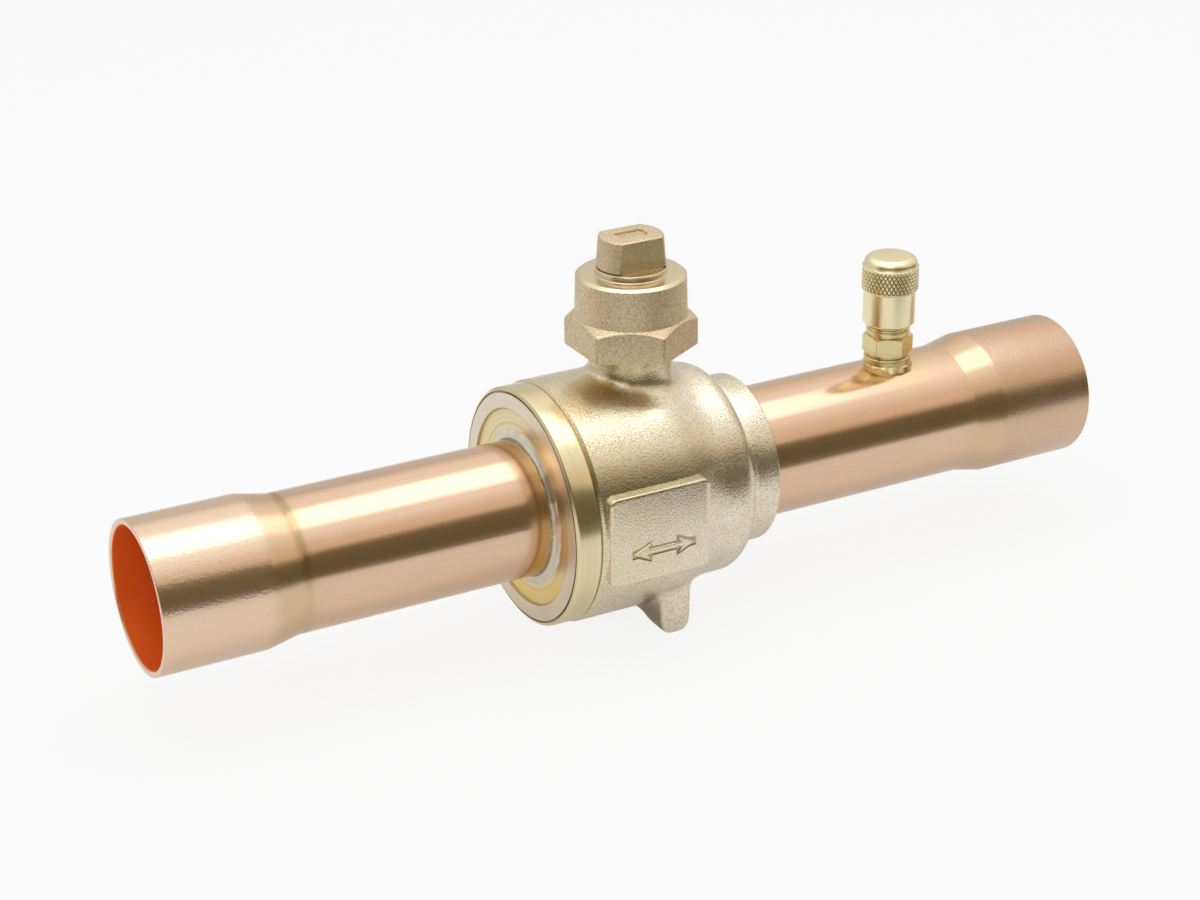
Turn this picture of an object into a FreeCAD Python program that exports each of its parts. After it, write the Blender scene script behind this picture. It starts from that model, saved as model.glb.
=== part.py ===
"""Refrigerant ball valve with solder stubs, seal cap and capped access port.

Millimetres. The origin is where the axis of the pipe run crosses the stem's axis,
+X runs towards the outlet and +Z runs up the stem.
"""
import FreeCAD, Part
import math
import os

import Sketcher

doc = FreeCAD.newDocument("refrigerant_valve")
sheet = doc.addObject("Spreadsheet::Sheet", "Sizes")

# Driving sizes: word, value in millimetres, what it is
SIZES = [
    ("half_length", 108.9, "stem axis to the mouth of either socket"),
    ("tube_diameter", 28.6, "outside of the copper stubs"),
    ("tube_wall", 1.35, "wall of the copper stubs"),
    ("socket_bore", 28.7, "inside of the swaged sockets, for the pipe"),
    ("socket_depth", 22.5, "depth of the swaged sockets"),
    ("swage_length", 7.6, "length of the cone behind a socket"),
    ("swage_blend", 5.0, "radius where the cone meets tube and socket"),
    ("mouth_chamfer", 0.4, "chamfer inside a socket's mouth"),
    ("tube_seat", 19.0, "stem axis to the inner end of either stub"),
    ("joint_gap", 0.05, "radial gap of the brazed joints"),
    ("port_bore", 25.4, "waterway through ball and seats"),
    ("ball_diameter", 38.0, "ball"),
    ("ball_vent", 2.0, "hole from the slot to the ball's bore"),
    ("seat_gap", 0.1, "gap between ball and seats"),
    ("seat_front", 10.5, "stem axis to a seat's inner face"),
    ("seat_thickness", 5.5, "seat along the pipe"),
    ("seat_diameter", 35.4, "outside of the seats"),
    ("seat_clearance", 0.05, "radial gap of a seat in its pocket"),
    ("cavity_clearance", 0.4, "radial gap between ball and body"),
    ("barrel_diameter", 51.2, "body on the inlet side"),
    ("taper_start", 0.5, "where the barrel starts to narrow"),
    ("taper_end", 9.0, "where the barrel ends narrowing"),
    ("taper_blend", 12.0, "radius at both ends of the taper"),
    ("outlet_diameter", 45.4, "body on the outlet side"),
    ("shoulder_end", 18.4, "stem axis to the foot of the outlet shoulder"),
    ("shoulder_round", 3.8, "radius of the outlet shoulder"),
    ("groove_diameter", 35.2, "bottom of the groove behind the shoulder"),
    ("groove_width", 0.8, "width of that groove"),
    ("collar_diameter", 36.4, "outlet collar"),
    ("collar_end", 25.7, "stem axis to the end of the outlet collar"),
    ("collar_round", 0.6, "radius of the outlet collar's edge"),
    ("seam_offset", 20.5, "stem axis to the seam of body and connector"),
    ("seam_chamfer", 0.5, "chamfers that make the seam's groove"),
    ("ring_diameter", 50.4, "flange of the end connector"),
    ("ring_width", 5.8, "flange of the end connector, along the pipe"),
    ("ring_chamfer", 0.5, "outer edge of the flange"),
    ("recess_diameter", 41.8, "recess in the flange's face"),
    ("recess_depth", 0.5, "recess in the flange's face"),
    ("recess_dish", 0.4, "how much deeper the recess is at the tube"),
    ("spigot_diameter", 43.0, "threaded spigot of the end connector"),
    ("thread_clearance", 0.1, "radial gap of the screwed joints"),
    ("gland_width", 2.6, "groove for the connector's O-ring"),
    ("gland_depth", 1.6, "groove for the connector's O-ring"),
    ("gland_offset", 1.2, "flange to that groove"),
    ("braze_leg", 2.6, "leg of the braze fillet round the inlet stub"),
    ("pad_front", 26.3, "stem axis to the face of the label pad"),
    ("pad_left", 19.2, "label pad towards the inlet"),
    ("pad_right", 3.9, "label pad towards the outlet"),
    ("pad_top", 10.2, "label pad above the pipe axis"),
    ("pad_bottom", 9.4, "label pad below the pipe axis"),
    ("pad_round", 1.7, "corners of the label pad"),
    ("foot_width", 7.0, "foot under the body, along the pipe"),
    ("foot_length", 37.2, "foot under the body, across the pipe"),
    ("foot_drop", 27.7, "pipe axis to the underside of the foot"),
    ("foot_round", 2.6, "lower edges of the foot"),
    ("foot_land", 3.0, "level part of the foot at either end"),
    ("foot_arch", 1.8, "rise of the foot's underside between them"),
    ("neck_diameter", 17.3, "plain neck under the seal cap"),
    ("neck_shoulder", 31.0, "pipe axis to the shoulder of the neck"),
    ("neck_fillet", 2.2, "fillet between neck and body"),
    ("neck_thread", 16.0, "thread of the neck, outside"),
    ("neck_top", 40.0, "pipe axis to the top of the neck"),
    ("neck_chamfer", 0.6, "chamfer at the top of the neck"),
    ("stem_diameter", 9.0, "stem"),
    ("stem_clearance", 0.05, "radial gap of the stem in the neck"),
    ("stem_collar", 12.8, "collar that keeps the stem in"),
    ("collar_foot", 19.4, "pipe axis to the underside of the collar"),
    ("collar_height", 2.4, "thickness of the collar"),
    ("collar_clearance", 0.2, "radial gap of the collar in its counterbore"),
    ("washer_thickness", 0.8, "thrust washer on the collar"),
    ("washer_gap", 0.05, "gap above the thrust washer"),
    ("tongue_width", 4.8, "tongue of the stem, along the pipe"),
    ("tongue_length", 9.0, "tongue of the stem, across the pipe"),
    ("tongue_foot", 15.0, "pipe axis to the underside of the tongue"),
    ("slot_clearance", 0.1, "gap round the tongue in the ball's slot"),
    ("packing_width", 2.0, "groove for a stem O-ring"),
    ("packing_depth", 1.4, "groove for a stem O-ring"),
    ("packing_lower", 25.6, "pipe axis to the lower O-ring groove"),
    ("packing_upper", 30.6, "pipe axis to the upper O-ring groove"),
    ("stem_shoulder", 40.4, "pipe axis to the foot of the stem's square"),
    ("square_flats", 6.2, "square on the stem, across flats"),
    ("square_height", 4.0, "square on the stem"),
    ("slot_width", 1.3, "screwdriver slot in the stem"),
    ("slot_depth", 1.4, "screwdriver slot in the stem"),
    ("pin_diameter", 2.0, "stop pin"),
    ("pin_length", 12.2, "stop pin"),
    ("pin_height", 38.3, "pipe axis to the stop pin"),
    ("stop_diameter", 12.8, "stop pockets in the neck, across both"),
    ("stop_clearance", 0.15, "gap between pin and stop"),
    ("stop_floor", 36.9, "pipe axis to the floor of the stop pockets"),
    ("cap_foot", 31.2, "pipe axis to the underside of the seal cap"),
    ("cap_flats", 24.0, "hexagon of the seal cap, across flats"),
    ("hex_round", 1.0, "corners of the hexagon"),
    ("hex_height", 6.8, "hexagon of the seal cap"),
    ("hex_bevel", 1.5, "drop of the hexagon's upper chamfer"),
    ("cap_diameter", 23.2, "cylinder of the seal cap at its foot"),
    ("cap_rim", 22.8, "cylinder of the seal cap at its top"),
    ("cap_shoulder", 46.8, "pipe axis to the turned face of the seal cap"),
    ("rim_bevel", 0.5, "bevel of the turned face"),
    ("boss_foot", 14.9, "round foot of the drive boss"),
    ("boss_step", 1.3, "height of that foot"),
    ("boss_diameter", 14.4, "drive boss above its foot"),
    ("boss_top", 13.3, "drive boss at its top"),
    ("boss_height", 8.0, "drive boss"),
    ("boss_round", 1.0, "upper edge of the drive boss"),
    ("boss_flats", 9.6, "drive boss across its two flats"),
    ("mark_length", 6.4, "shallow recess in the boss's top"),
    ("mark_width", 3.6, "shallow recess in the boss's top"),
    ("mark_depth", 0.3, "shallow recess in the boss's top"),
    ("gasket_thickness", 1.2, "seal cap's gasket"),
    ("gasket_bore", 10.6, "hole of the gasket and of the cap's well"),
    ("gasket_gap", 0.05, "gap under the gasket and round its faces"),
    ("well_top", 45.6, "pipe axis to the ceiling of the cap's well"),
    ("port_setback", 44.7, "outlet mouth to the access port's axis"),
    ("spigot_bore", 2.6, "gas passage of the access port"),
    ("spigot_outside", 6.3, "access port's spigot through the stub"),
    ("base_diameter", 10.2, "round base of the access port"),
    ("base_top", 16.0, "pipe axis to the top of that base"),
    ("waist_diameter", 8.8, "waist between base and hexagon"),
    ("hexagon_foot", 16.7, "pipe axis to the access port's hexagon"),
    ("hexagon_top", 20.9, "pipe axis to the top of that hexagon"),
    ("hexagon_flats", 9.6, "access port's hexagon, across flats"),
    ("access_thread", 9.9, "thread of the access port, outside"),
    ("access_relief", 9.0, "relief at the foot of that thread"),
    ("relief_height", 0.6, "height of that relief"),
    ("access_top", 34.0, "pipe axis to the rim of the access port"),
    ("access_chamfer", 0.5, "rim of the access port"),
    ("core_chamber", 5.3, "bore that holds the valve core"),
    ("chamber_floor", 20.6, "pipe axis to the floor of that bore"),
    ("core_head", 5.2, "threaded head of the core"),
    ("head_height", 2.8, "head of the core"),
    ("core_top", 32.4, "pipe axis to the top of the core"),
    ("core_barrel", 3.8, "barrel of the core"),
    ("core_foot", 23.8, "pipe axis to the foot of the core"),
    ("core_floor", 0.8, "floor and roof of the core's spring chamber"),
    ("spring_chamber", 2.9, "spring chamber of the core"),
    ("guide_clearance", 0.08, "radial gap of the pin in the core"),
    ("core_pin", 1.4, "pin of the core"),
    ("pin_top", 33.4, "pipe axis to the top of the core's pin"),
    ("pin_collar", 2.6, "collar on the pin, above the spring"),
    ("collar_thickness", 0.5, "that collar"),
    ("collar_place", 30.6, "pipe axis to the underside of that collar"),
    ("poppet_diameter", 3.5, "poppet at the foot of the pin"),
    ("poppet_thickness", 0.7, "that poppet"),
    ("poppet_seal", 0.4, "rubber face of the poppet"),
    ("poppet_gap", 0.05, "gap between rubber face and core"),
    ("core_ring_foot", 26.4, "pipe axis to the core's sealing ring"),
    ("core_ring_height", 1.8, "core's sealing ring"),
    ("spring_wire", 0.34, "wire of the core's spring"),
    ("spring_diameter", 2.2, "core's spring, middle of the wire"),
    ("spring_turns", 5, "turns of the core's spring"),
    ("access_braze", 1.3, "leg of the braze round the access port"),
    ("lid_foot", 23.4, "pipe axis to the foot of the access cap"),
    ("lid_barrel", 11.3, "smooth part of the access cap"),
    ("lid_diameter", 12.5, "knurled part of the access cap"),
    ("knurl_foot", 31.5, "pipe axis to the foot of the knurling"),
    ("lid_top", 38.8, "pipe axis to the top of the access cap"),
    ("lid_crown", 8.4, "flat top of the access cap"),
    ("crown_drop", 1.9, "height of the cap's rounded edge"),
    ("lid_chamfer", 0.5, "foot of the access cap"),
    ("lid_seal", 1.2, "rubber disc in the access cap"),
    ("lid_seal_gap", 0.05, "gap under and over the rubber disc"),
]
for row, (word, amount, note) in enumerate(SIZES, start=1):
    sheet.set(f"A{row}", note)
    sheet.set(f"B{row}", str(amount))
    sheet.setAlias(f"B{row}", word)
doc.recompute()

pieces = []


def number(formula):
    """What a formula on the sheet's sizes comes to."""
    return float(sheet.evalExpression(str(formula)))


def size(word):
    return f"Sizes.{word}"


def new_body(label):
    """An empty body that will be written under its label."""
    body = doc.addObject("PartDesign::Body", label)
    body.Label = label
    pieces.append(body)
    return body


def corner_arc(before, corner, after, radius):
    """Where a rounded corner leaves its two edges, its centre, and if it turns left."""
    back = (before - corner).normalize()
    ahead = (after - corner).normalize()
    half = math.acos(back.dot(ahead)) / 2
    run = radius / math.tan(half)
    centre = corner + (back + ahead).normalize() * (radius / math.sin(half))
    left = (corner - before).cross(after - corner).z > 0
    return corner + back * run, corner + ahead * run, centre, left


def place_point(sketch, item, formulas):
    """Ties an item's first point to its two formulas."""
    for kind, axis, formula in (("DistanceX", -2, formulas[0]), ("DistanceY", -1, formulas[1])):
        if str(formula) == "0":
            sketch.addConstraint(Sketcher.Constraint("PointOnObject", item, 1, axis))
            continue
        index = sketch.addConstraint(Sketcher.Constraint(kind, -1, 1, item, 1, number(formula)))
        sketch.setExpression(f"Constraints[{index}]", str(formula))


def new_sketch(body, name, plane, height=None):
    """A sketch on one of the body's own planes, lifted off it by a formula."""
    sketch = body.newObject("Sketcher::SketchObject", name)
    support = [item for item in body.Origin.OriginFeatures if item.Role == plane]
    sketch.AttachmentSupport = [(support[0], "")]
    sketch.MapMode = "FlatFace"
    if height is not None:
        sketch.setExpression("AttachmentOffset.Base.z", height)
    return sketch


def outline(body, name, plane, corners, height=None):
    """A closed outline; a corner is its two formulas and, if rounded, a radius."""
    sketch = new_sketch(body, name, plane, height)
    spots = [FreeCAD.Vector(number(corner[0]), number(corner[1]), 0) for corner in corners]
    count = len(corners)
    arcs = {}
    for index, corner in enumerate(corners):
        if len(corner) == 3:
            after = spots[(index + 1) % count]
            arcs[index] = corner_arc(spots[index - 1], spots[index], after, number(corner[2]))
    for index in range(count):
        after = (index + 1) % count
        start = arcs[index][1] if index in arcs else spots[index]
        end = arcs[after][0] if after in arcs else spots[after]
        sketch.addGeometry(Part.LineSegment(start, end), False)
    for index, corner in enumerate(corners):
        line_before = (index - 1) % count
        if index not in arcs:
            sketch.addConstraint(Sketcher.Constraint("Coincident", line_before, 2, index, 1))
            place_point(sketch, index, corner)
            continue
        enter, leave, centre, left = arcs[index]
        first, last = (enter, leave) if left else (leave, enter)
        angles = [math.atan2(end.y - centre.y, end.x - centre.x) for end in (first, last)]
        circle = Part.Circle(centre, FreeCAD.Vector(0, 0, 1), (enter - centre).Length)
        arc = sketch.addGeometry(Part.ArcOfCircle(circle, angles[0], angles[1]), False)
        sketch.addConstraint(Sketcher.Constraint("Tangent", line_before, 2, arc, 1 if left else 2))
        sketch.addConstraint(Sketcher.Constraint("Tangent", arc, 2 if left else 1, index, 1))
        bend = sketch.addConstraint(Sketcher.Constraint("Radius", arc, number(corner[2])))
        sketch.setExpression(f"Constraints[{bend}]", str(corner[2]))
        meeting = sketch.addGeometry(Part.Point(spots[index]), True)
        place_point(sketch, meeting, corner)
        sketch.addConstraint(Sketcher.Constraint("PointOnObject", meeting, 1, line_before))
        sketch.addConstraint(Sketcher.Constraint("PointOnObject", meeting, 1, index))
    return sketch


def disc(body, name, plane, diameter, centre=("0", "0"), height=None):
    """A circle of a given diameter."""
    sketch = new_sketch(body, name, plane, height)
    middle = FreeCAD.Vector(number(centre[0]), number(centre[1]), 0)
    circle = Part.Circle(middle, FreeCAD.Vector(0, 0, 1), number(diameter) / 2)
    item = sketch.addGeometry(circle, False)
    for kind, axis, formula in (("DistanceX", -2, centre[0]), ("DistanceY", -1, centre[1])):
        if formula == "0":
            sketch.addConstraint(Sketcher.Constraint("PointOnObject", item, 3, axis))
            continue
        index = sketch.addConstraint(Sketcher.Constraint(kind, -1, 1, item, 3, number(formula)))
        sketch.setExpression(f"Constraints[{index}]", formula)
    index = sketch.addConstraint(Sketcher.Constraint("Diameter", item, number(diameter)))
    sketch.setExpression(f"Constraints[{index}]", diameter)
    return sketch


def hexagon(body, name, flats, corner_round, height):
    """A hexagon with two flats square to X and rounded corners."""
    corners = []
    for turn in range(6):
        angle = math.radians(30 + 60 * turn)
        reach = 1 / (2 * math.cos(math.radians(30)))
        factors = (reach * math.cos(angle), reach * math.sin(angle))
        corners.append([f"{flats} * {factor:.9f}" for factor in factors] + [corner_round])
    return outline(body, name, "XY_Plane", corners, height)


def turned(body, name, sketch, axis, cut=False):
    """Turns an outline about the sketch's own axis, adding or cutting."""
    feature = body.newObject("PartDesign::Groove" if cut else "PartDesign::Revolution", name)
    feature.Profile = sketch
    feature.ReferenceAxis = (sketch, [axis])
    feature.Angle = 360
    sketch.Visibility = False
    return feature


def about_pipe(body, name, corners, cut=False):
    """Turns an outline of (along, radius) about the pipe's axis."""
    return turned(body, name, outline(body, name + "_outline", "XZ_Plane", corners), "H_Axis", cut)


def about_stem(body, name, corners, cut=False):
    """Turns an outline of (radius, height) about the stem's axis."""
    return turned(body, name, outline(body, name + "_outline", "XZ_Plane", corners), "V_Axis", cut)


def raised(body, name, sketch, length, cut=False, both=False, back=False):
    """Pads or pockets an outline by a formula."""
    feature = body.newObject("PartDesign::Pocket" if cut else "PartDesign::Pad", name)
    feature.Profile = sketch
    feature.setExpression("Length", length)
    feature.Midplane = both
    feature.Reversed = back
    sketch.Visibility = False
    return feature


def rounded(body, name, chosen, radius):
    """Rounds the edges of the body that a test picks out."""
    doc.recompute()
    base = body.Tip
    edges = []
    for index, edge in enumerate(base.Shape.Edges, start=1):
        middle = edge.valueAt((edge.FirstParameter + edge.LastParameter) / 2)
        if chosen(edge, middle):
            edges.append(f"Edge{index}")
    feature = body.newObject("PartDesign::Fillet", name)
    feature.Base = (base, edges)
    feature.setExpression("Radius", radius)
    doc.recompute()
    return feature


def primitive(kind, name, along_pipe=False, base=(None, None, None), **formulas):
    """A plain solid whose sizes and place are formulas."""
    item = doc.addObject(f"Part::{kind}", name)
    for key, formula in formulas.items():
        item.setExpression(key, formula)
    if along_pipe:
        item.Placement.Rotation = FreeCAD.Rotation(FreeCAD.Vector(0, 1, 0), 90)
    for axis, formula in zip("xyz", base):
        if formula is not None:
            item.setExpression(f"Placement.Base.{axis}", formula)
    return item


def joined(name, items):
    fuse = doc.addObject("Part::MultiFuse", name)
    fuse.Shapes = items
    return fuse


def cut_away(label, blank, tool):
    """The blank less the tool, written under its label."""
    piece = doc.addObject("Part::Cut", label)
    piece.Label = label
    piece.Base = blank
    piece.Tool = tool
    pieces.append(piece)
    return piece


TUBE = "Sizes.tube_diameter / 2"
TUBE_BORE = "(Sizes.tube_diameter / 2 - Sizes.tube_wall)"
SWAGE = "(Sizes.socket_bore / 2 + Sizes.tube_wall)"
SOCKET_STOP = "(Sizes.half_length - Sizes.socket_depth)"
CONE_END = f"({SOCKET_STOP} - Sizes.swage_length)"
CAVITY = "(Sizes.ball_diameter / 2 + Sizes.cavity_clearance)"
JOINT = "(Sizes.tube_diameter / 2 + Sizes.joint_gap)"
SEAT_BACK = "(Sizes.seat_front + Sizes.seat_thickness)"
POCKET = "(Sizes.seat_diameter / 2 + Sizes.seat_clearance)"
BORE = "Sizes.port_bore / 2"
STEM = "Sizes.stem_diameter / 2"
STEM_BORE = "(Sizes.stem_diameter / 2 + Sizes.stem_clearance)"
COLLAR_TOP = "(Sizes.collar_foot + Sizes.collar_height)"
WASHER_SEAT = f"({COLLAR_TOP} + Sizes.washer_thickness + Sizes.washer_gap)"
SPIGOT = "Sizes.spigot_diameter / 2"
CAP_THREAD = "(Sizes.neck_thread / 2 + Sizes.thread_clearance)"
GASKET_TOP = "(Sizes.neck_top + Sizes.gasket_gap + Sizes.gasket_thickness)"
ACCESS_THREAD = "Sizes.access_thread / 2"
LID_SEAL_FOOT = "(Sizes.access_top + Sizes.lid_seal_gap)"
ACCESS_PLACE = "(Sizes.half_length - Sizes.port_setback)"


# Forged body: barrel, outlet shoulder and collar, neck, label pad and foot
def valve_body():
    body = new_body("valve_body")
    radius = "Sizes.barrel_diameter / 2"
    about_pipe(body, "casting", [
        ("-Sizes.seam_offset", "0"),
        ("-Sizes.seam_offset", f"{radius} - Sizes.seam_chamfer"),
        ("-Sizes.seam_offset + Sizes.seam_chamfer", radius),
        ("Sizes.taper_start", radius, "Sizes.taper_blend"),
        ("Sizes.taper_end", "Sizes.outlet_diameter / 2", "Sizes.taper_blend"),
        ("Sizes.shoulder_end", "Sizes.outlet_diameter / 2", "Sizes.shoulder_round"),
        ("Sizes.shoulder_end", "Sizes.groove_diameter / 2"),
        ("Sizes.shoulder_end + Sizes.groove_width", "Sizes.groove_diameter / 2"),
        ("Sizes.shoulder_end + Sizes.groove_width * 2", "Sizes.collar_diameter / 2"),
        ("Sizes.collar_end", "Sizes.collar_diameter / 2", "Sizes.collar_round"),
        ("Sizes.collar_end", "0"),
    ])
    about_stem(body, "neck", [
        ("0", "Sizes.ball_diameter / 4"),
        ("Sizes.neck_diameter / 2", "Sizes.ball_diameter / 4"),
        ("Sizes.neck_diameter / 2", "Sizes.neck_shoulder"),
        ("Sizes.neck_thread / 2", "Sizes.neck_shoulder"),
        ("Sizes.neck_thread / 2", "Sizes.neck_top - Sizes.neck_chamfer"),
        ("Sizes.neck_thread / 2 - Sizes.neck_chamfer", "Sizes.neck_top"),
        ("0", "Sizes.neck_top"),
    ])
    neck_radius = number("Sizes.neck_diameter / 2")
    barrel_radius = number(radius)

    def at_neck_foot(edge, middle):
        on_neck = abs(math.hypot(middle.x, middle.y) - neck_radius) < 0.01
        return on_neck and number(CAVITY) < middle.z < barrel_radius + 0.01

    rounded(body, "neck_root", at_neck_foot, size("neck_fillet"))
    pad = outline(body, "pad_outline", "XZ_Plane", [
        ("-Sizes.pad_left", "-Sizes.pad_bottom", "Sizes.pad_round"),
        ("Sizes.pad_right", "-Sizes.pad_bottom", "Sizes.pad_round"),
        ("Sizes.pad_right", "Sizes.pad_top", "Sizes.pad_round"),
        ("-Sizes.pad_left", "Sizes.pad_top", "Sizes.pad_round"),
    ])
    raised(body, "label_pad", pad, size("pad_front"))
    foot = outline(body, "foot_outline", "XZ_Plane", [
        ("-Sizes.foot_width / 2", "-Sizes.ball_diameter / 4"),
        ("-Sizes.foot_width / 2", "-Sizes.foot_drop", "Sizes.foot_round"),
        ("Sizes.foot_width / 2", "-Sizes.foot_drop", "Sizes.foot_round"),
        ("Sizes.foot_width / 2", "-Sizes.ball_diameter / 4"),
    ])
    raised(body, "foot", foot, size("foot_length"), both=True)
    # The foot's underside arches up between its two ends
    land = "(Sizes.foot_length / 2 - Sizes.foot_land)"
    arch = outline(body, "foot_arch_outline", "YZ_Plane", [
        (f"-{land}", "-Sizes.foot_drop - Sizes.foot_arch"),
        (land, "-Sizes.foot_drop - Sizes.foot_arch"),
        (land, "-Sizes.foot_drop"),
        (f"{land} / 4", "-Sizes.foot_drop + Sizes.foot_arch"),
        (f"-{land} / 4", "-Sizes.foot_drop + Sizes.foot_arch"),
        (f"-{land}", "-Sizes.foot_drop"),
    ])
    raised(body, "foot_arching", arch, "2 * Sizes.foot_width", cut=True, both=True)
    about_pipe(body, "waterway", [
        ("-Sizes.seam_offset", "0"),
        ("-Sizes.seam_offset", f"{SPIGOT} + Sizes.thread_clearance"),
        ("-Sizes.seat_front", f"{SPIGOT} + Sizes.thread_clearance"),
        ("-Sizes.seat_front", CAVITY),
        ("Sizes.seat_front", CAVITY),
        ("Sizes.seat_front", POCKET),
        (SEAT_BACK, POCKET),
        (SEAT_BACK, BORE),
        ("Sizes.tube_seat", BORE),
        ("Sizes.tube_seat", JOINT),
        ("Sizes.collar_end", JOINT),
        ("Sizes.collar_end", "0"),
    ], cut=True)
    about_stem(body, "stem_bore", [
        ("0", "0"),
        ("Sizes.stem_collar / 2 + Sizes.collar_clearance", "0"),
        ("Sizes.stem_collar / 2 + Sizes.collar_clearance", WASHER_SEAT),
        (STEM_BORE, WASHER_SEAT),
        (STEM_BORE, "Sizes.neck_top"),
        ("0", "Sizes.neck_top"),
    ], cut=True)
    # Two quarter pockets, in which the stop pin swings between its two ends
    for side, name in ((1, "stop_pocket_outlet"), (-1, "stop_pocket_inlet")):
        wall = "(Sizes.pin_diameter / 2 + Sizes.stop_clearance)"
        reach = "Sizes.stop_diameter / 2"
        pocket = outline(body, name + "_outline", "XY_Plane", [
            (f"{-side} * {wall}", f"{side} * {wall}"),
            (f"{-side} * {wall}", f"{-side} * {reach}"),
            (f"{side} * {reach}", f"{-side} * {reach}", reach),
            (f"{side} * {reach}", f"{side} * {wall}"),
        ], "Sizes.neck_top")
        raised(body, name, pocket, "Sizes.neck_top - Sizes.stop_floor", cut=True)


# Turned end connector: flange, face recess, socket, threaded spigot and seat pocket
def end_connector():
    body = new_body("end_connector")
    face = "(Sizes.seam_offset + Sizes.ring_width)"
    ring = "Sizes.ring_diameter / 2"
    gland = "(Sizes.seam_offset - Sizes.gland_offset)"
    about_pipe(body, "turning", [
        (f"-{face}", JOINT),
        (f"-{face}", f"{ring} - Sizes.ring_chamfer"),
        (f"-{face} + Sizes.ring_chamfer", ring),
        ("-Sizes.seam_offset - Sizes.seam_chamfer", ring),
        ("-Sizes.seam_offset", f"{ring} - Sizes.seam_chamfer"),
        ("-Sizes.seam_offset", SPIGOT),
        (f"-{gland}", SPIGOT),
        (f"-{gland}", f"{SPIGOT} - Sizes.gland_depth"),
        (f"-{gland} + Sizes.gland_width", f"{SPIGOT} - Sizes.gland_depth"),
        (f"-{gland} + Sizes.gland_width", SPIGOT),
        ("-Sizes.seat_front", SPIGOT),
        ("-Sizes.seat_front", POCKET),
        (f"-{SEAT_BACK}", POCKET),
        (f"-{SEAT_BACK}", BORE),
        ("-Sizes.tube_seat", BORE),
        ("-Sizes.tube_seat", JOINT),
    ])
    about_pipe(body, "face_recess", [
        (f"-{face}", JOINT),
        (f"-{face}", "Sizes.recess_diameter / 2"),
        (f"-{face} + Sizes.recess_depth", "Sizes.recess_diameter / 2 - Sizes.recess_depth / 2"),
        (f"-{face} + Sizes.recess_depth + Sizes.recess_dish", JOINT),
    ], cut=True)


# Copper stub, drawn tube swaged out to a socket; side is -1 for the inlet, 1 for the outlet
def stub(label, side):
    body = new_body(label)
    half = f"{side} * Sizes.half_length"
    stop = f"{side} * {SOCKET_STOP}"
    cone = f"{side} * {CONE_END}"
    lip = "Sizes.mouth_chamfer"
    about_pipe(body, "drawn_tube", [
        (f"{side} * Sizes.tube_seat", TUBE_BORE),
        (f"{side} * Sizes.tube_seat", TUBE),
        (cone, TUBE, "Sizes.swage_blend + Sizes.tube_wall"),
        (stop, SWAGE, "Sizes.swage_blend"),
        (half, SWAGE),
        (half, f"Sizes.socket_bore / 2 + {lip}"),
        (f"{side} * (Sizes.half_length - {lip})", "Sizes.socket_bore / 2"),
        (stop, "Sizes.socket_bore / 2"),
        (f"{side} * ({SOCKET_STOP} - Sizes.tube_wall / 2)", TUBE_BORE),
    ])
    if side > 0:
        hole = disc(body, "access_hole_outline", "XY_Plane",
                    "Sizes.spigot_outside + 2 * Sizes.joint_gap", (ACCESS_PLACE, "0"))
        raised(body, "access_hole", hole, size("tube_diameter"), cut=True, back=True)


# Fillet of silver braze between the connector's recess and the inlet stub
def inlet_braze():
    body = new_body("inlet_braze")
    step = "(Sizes.seam_offset + Sizes.ring_width - Sizes.recess_depth)"
    rim = "(Sizes.recess_diameter / 2 - Sizes.recess_depth / 2)"
    slope = f"Sizes.recess_dish / ({rim} - {JOINT})"
    foot = f"({TUBE} + Sizes.braze_leg)"
    about_pipe(body, "fillet", [
        (f"-{step} + {slope} * ({rim} - {TUBE})", TUBE),
        (f"-{step} - Sizes.braze_leg", TUBE),
        (f"-{step} - Sizes.braze_leg / 3", f"{TUBE} + Sizes.braze_leg / 3"),
        (f"-{step} + {slope} * ({rim} - {foot})", foot),
    ])


# Ball with its waterway, the slot for the stem and the hole that vents it
def ball():
    blank = primitive("Sphere", "ball_blank", Radius="Sizes.ball_diameter / 2")
    bore = primitive("Cylinder", "ball_bore", True, ("-Sizes.ball_diameter", None, None),
                     Radius=BORE, Height="Sizes.ball_diameter * 2")
    width = "(Sizes.tongue_width + 2 * Sizes.slot_clearance)"
    floor = "(Sizes.tongue_foot - Sizes.slot_clearance)"
    slot = primitive("Box", "ball_slot", False,
                     (f"-{width} / 2", "-Sizes.ball_diameter", floor),
                     Length=width, Width="Sizes.ball_diameter * 2", Height="Sizes.ball_diameter")
    vent = primitive("Cylinder", "ball_vent_hole", False,
                     Radius="Sizes.ball_vent / 2", Height="Sizes.ball_diameter / 2")
    cut_away("ball", blank, joined("ball_cutters", [bore, slot, vent]))


# Soft seat ring, dished to the ball; side is -1 for the inlet, 1 for the outlet
def seat(label, side):
    start = "Sizes.seat_front" if side > 0 else f"-{SEAT_BACK}"
    blank = primitive("Cylinder", label + "_blank", True, (start, None, None),
                      Radius="Sizes.seat_diameter / 2", Height="Sizes.seat_thickness")
    bore = primitive("Cylinder", label + "_bore", True, ("-Sizes.half_length", None, None),
                     Radius=BORE, Height="2 * Sizes.half_length")
    dish = primitive("Sphere", label + "_dish", Radius="Sizes.ball_diameter / 2 + Sizes.seat_gap")
    cut_away(label, blank, joined(label + "_cutters", [bore, dish]))


# O-ring; its cord fills the gland between floor and wall
def o_ring(label, floor, wall, along_pipe, place):
    item = primitive("Torus", label, along_pipe, place,
                     Radius1=f"({floor} + {wall}) / 2", Radius2=f"({wall} - {floor}) / 2")
    item.Label = label
    pieces.append(item)


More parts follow.
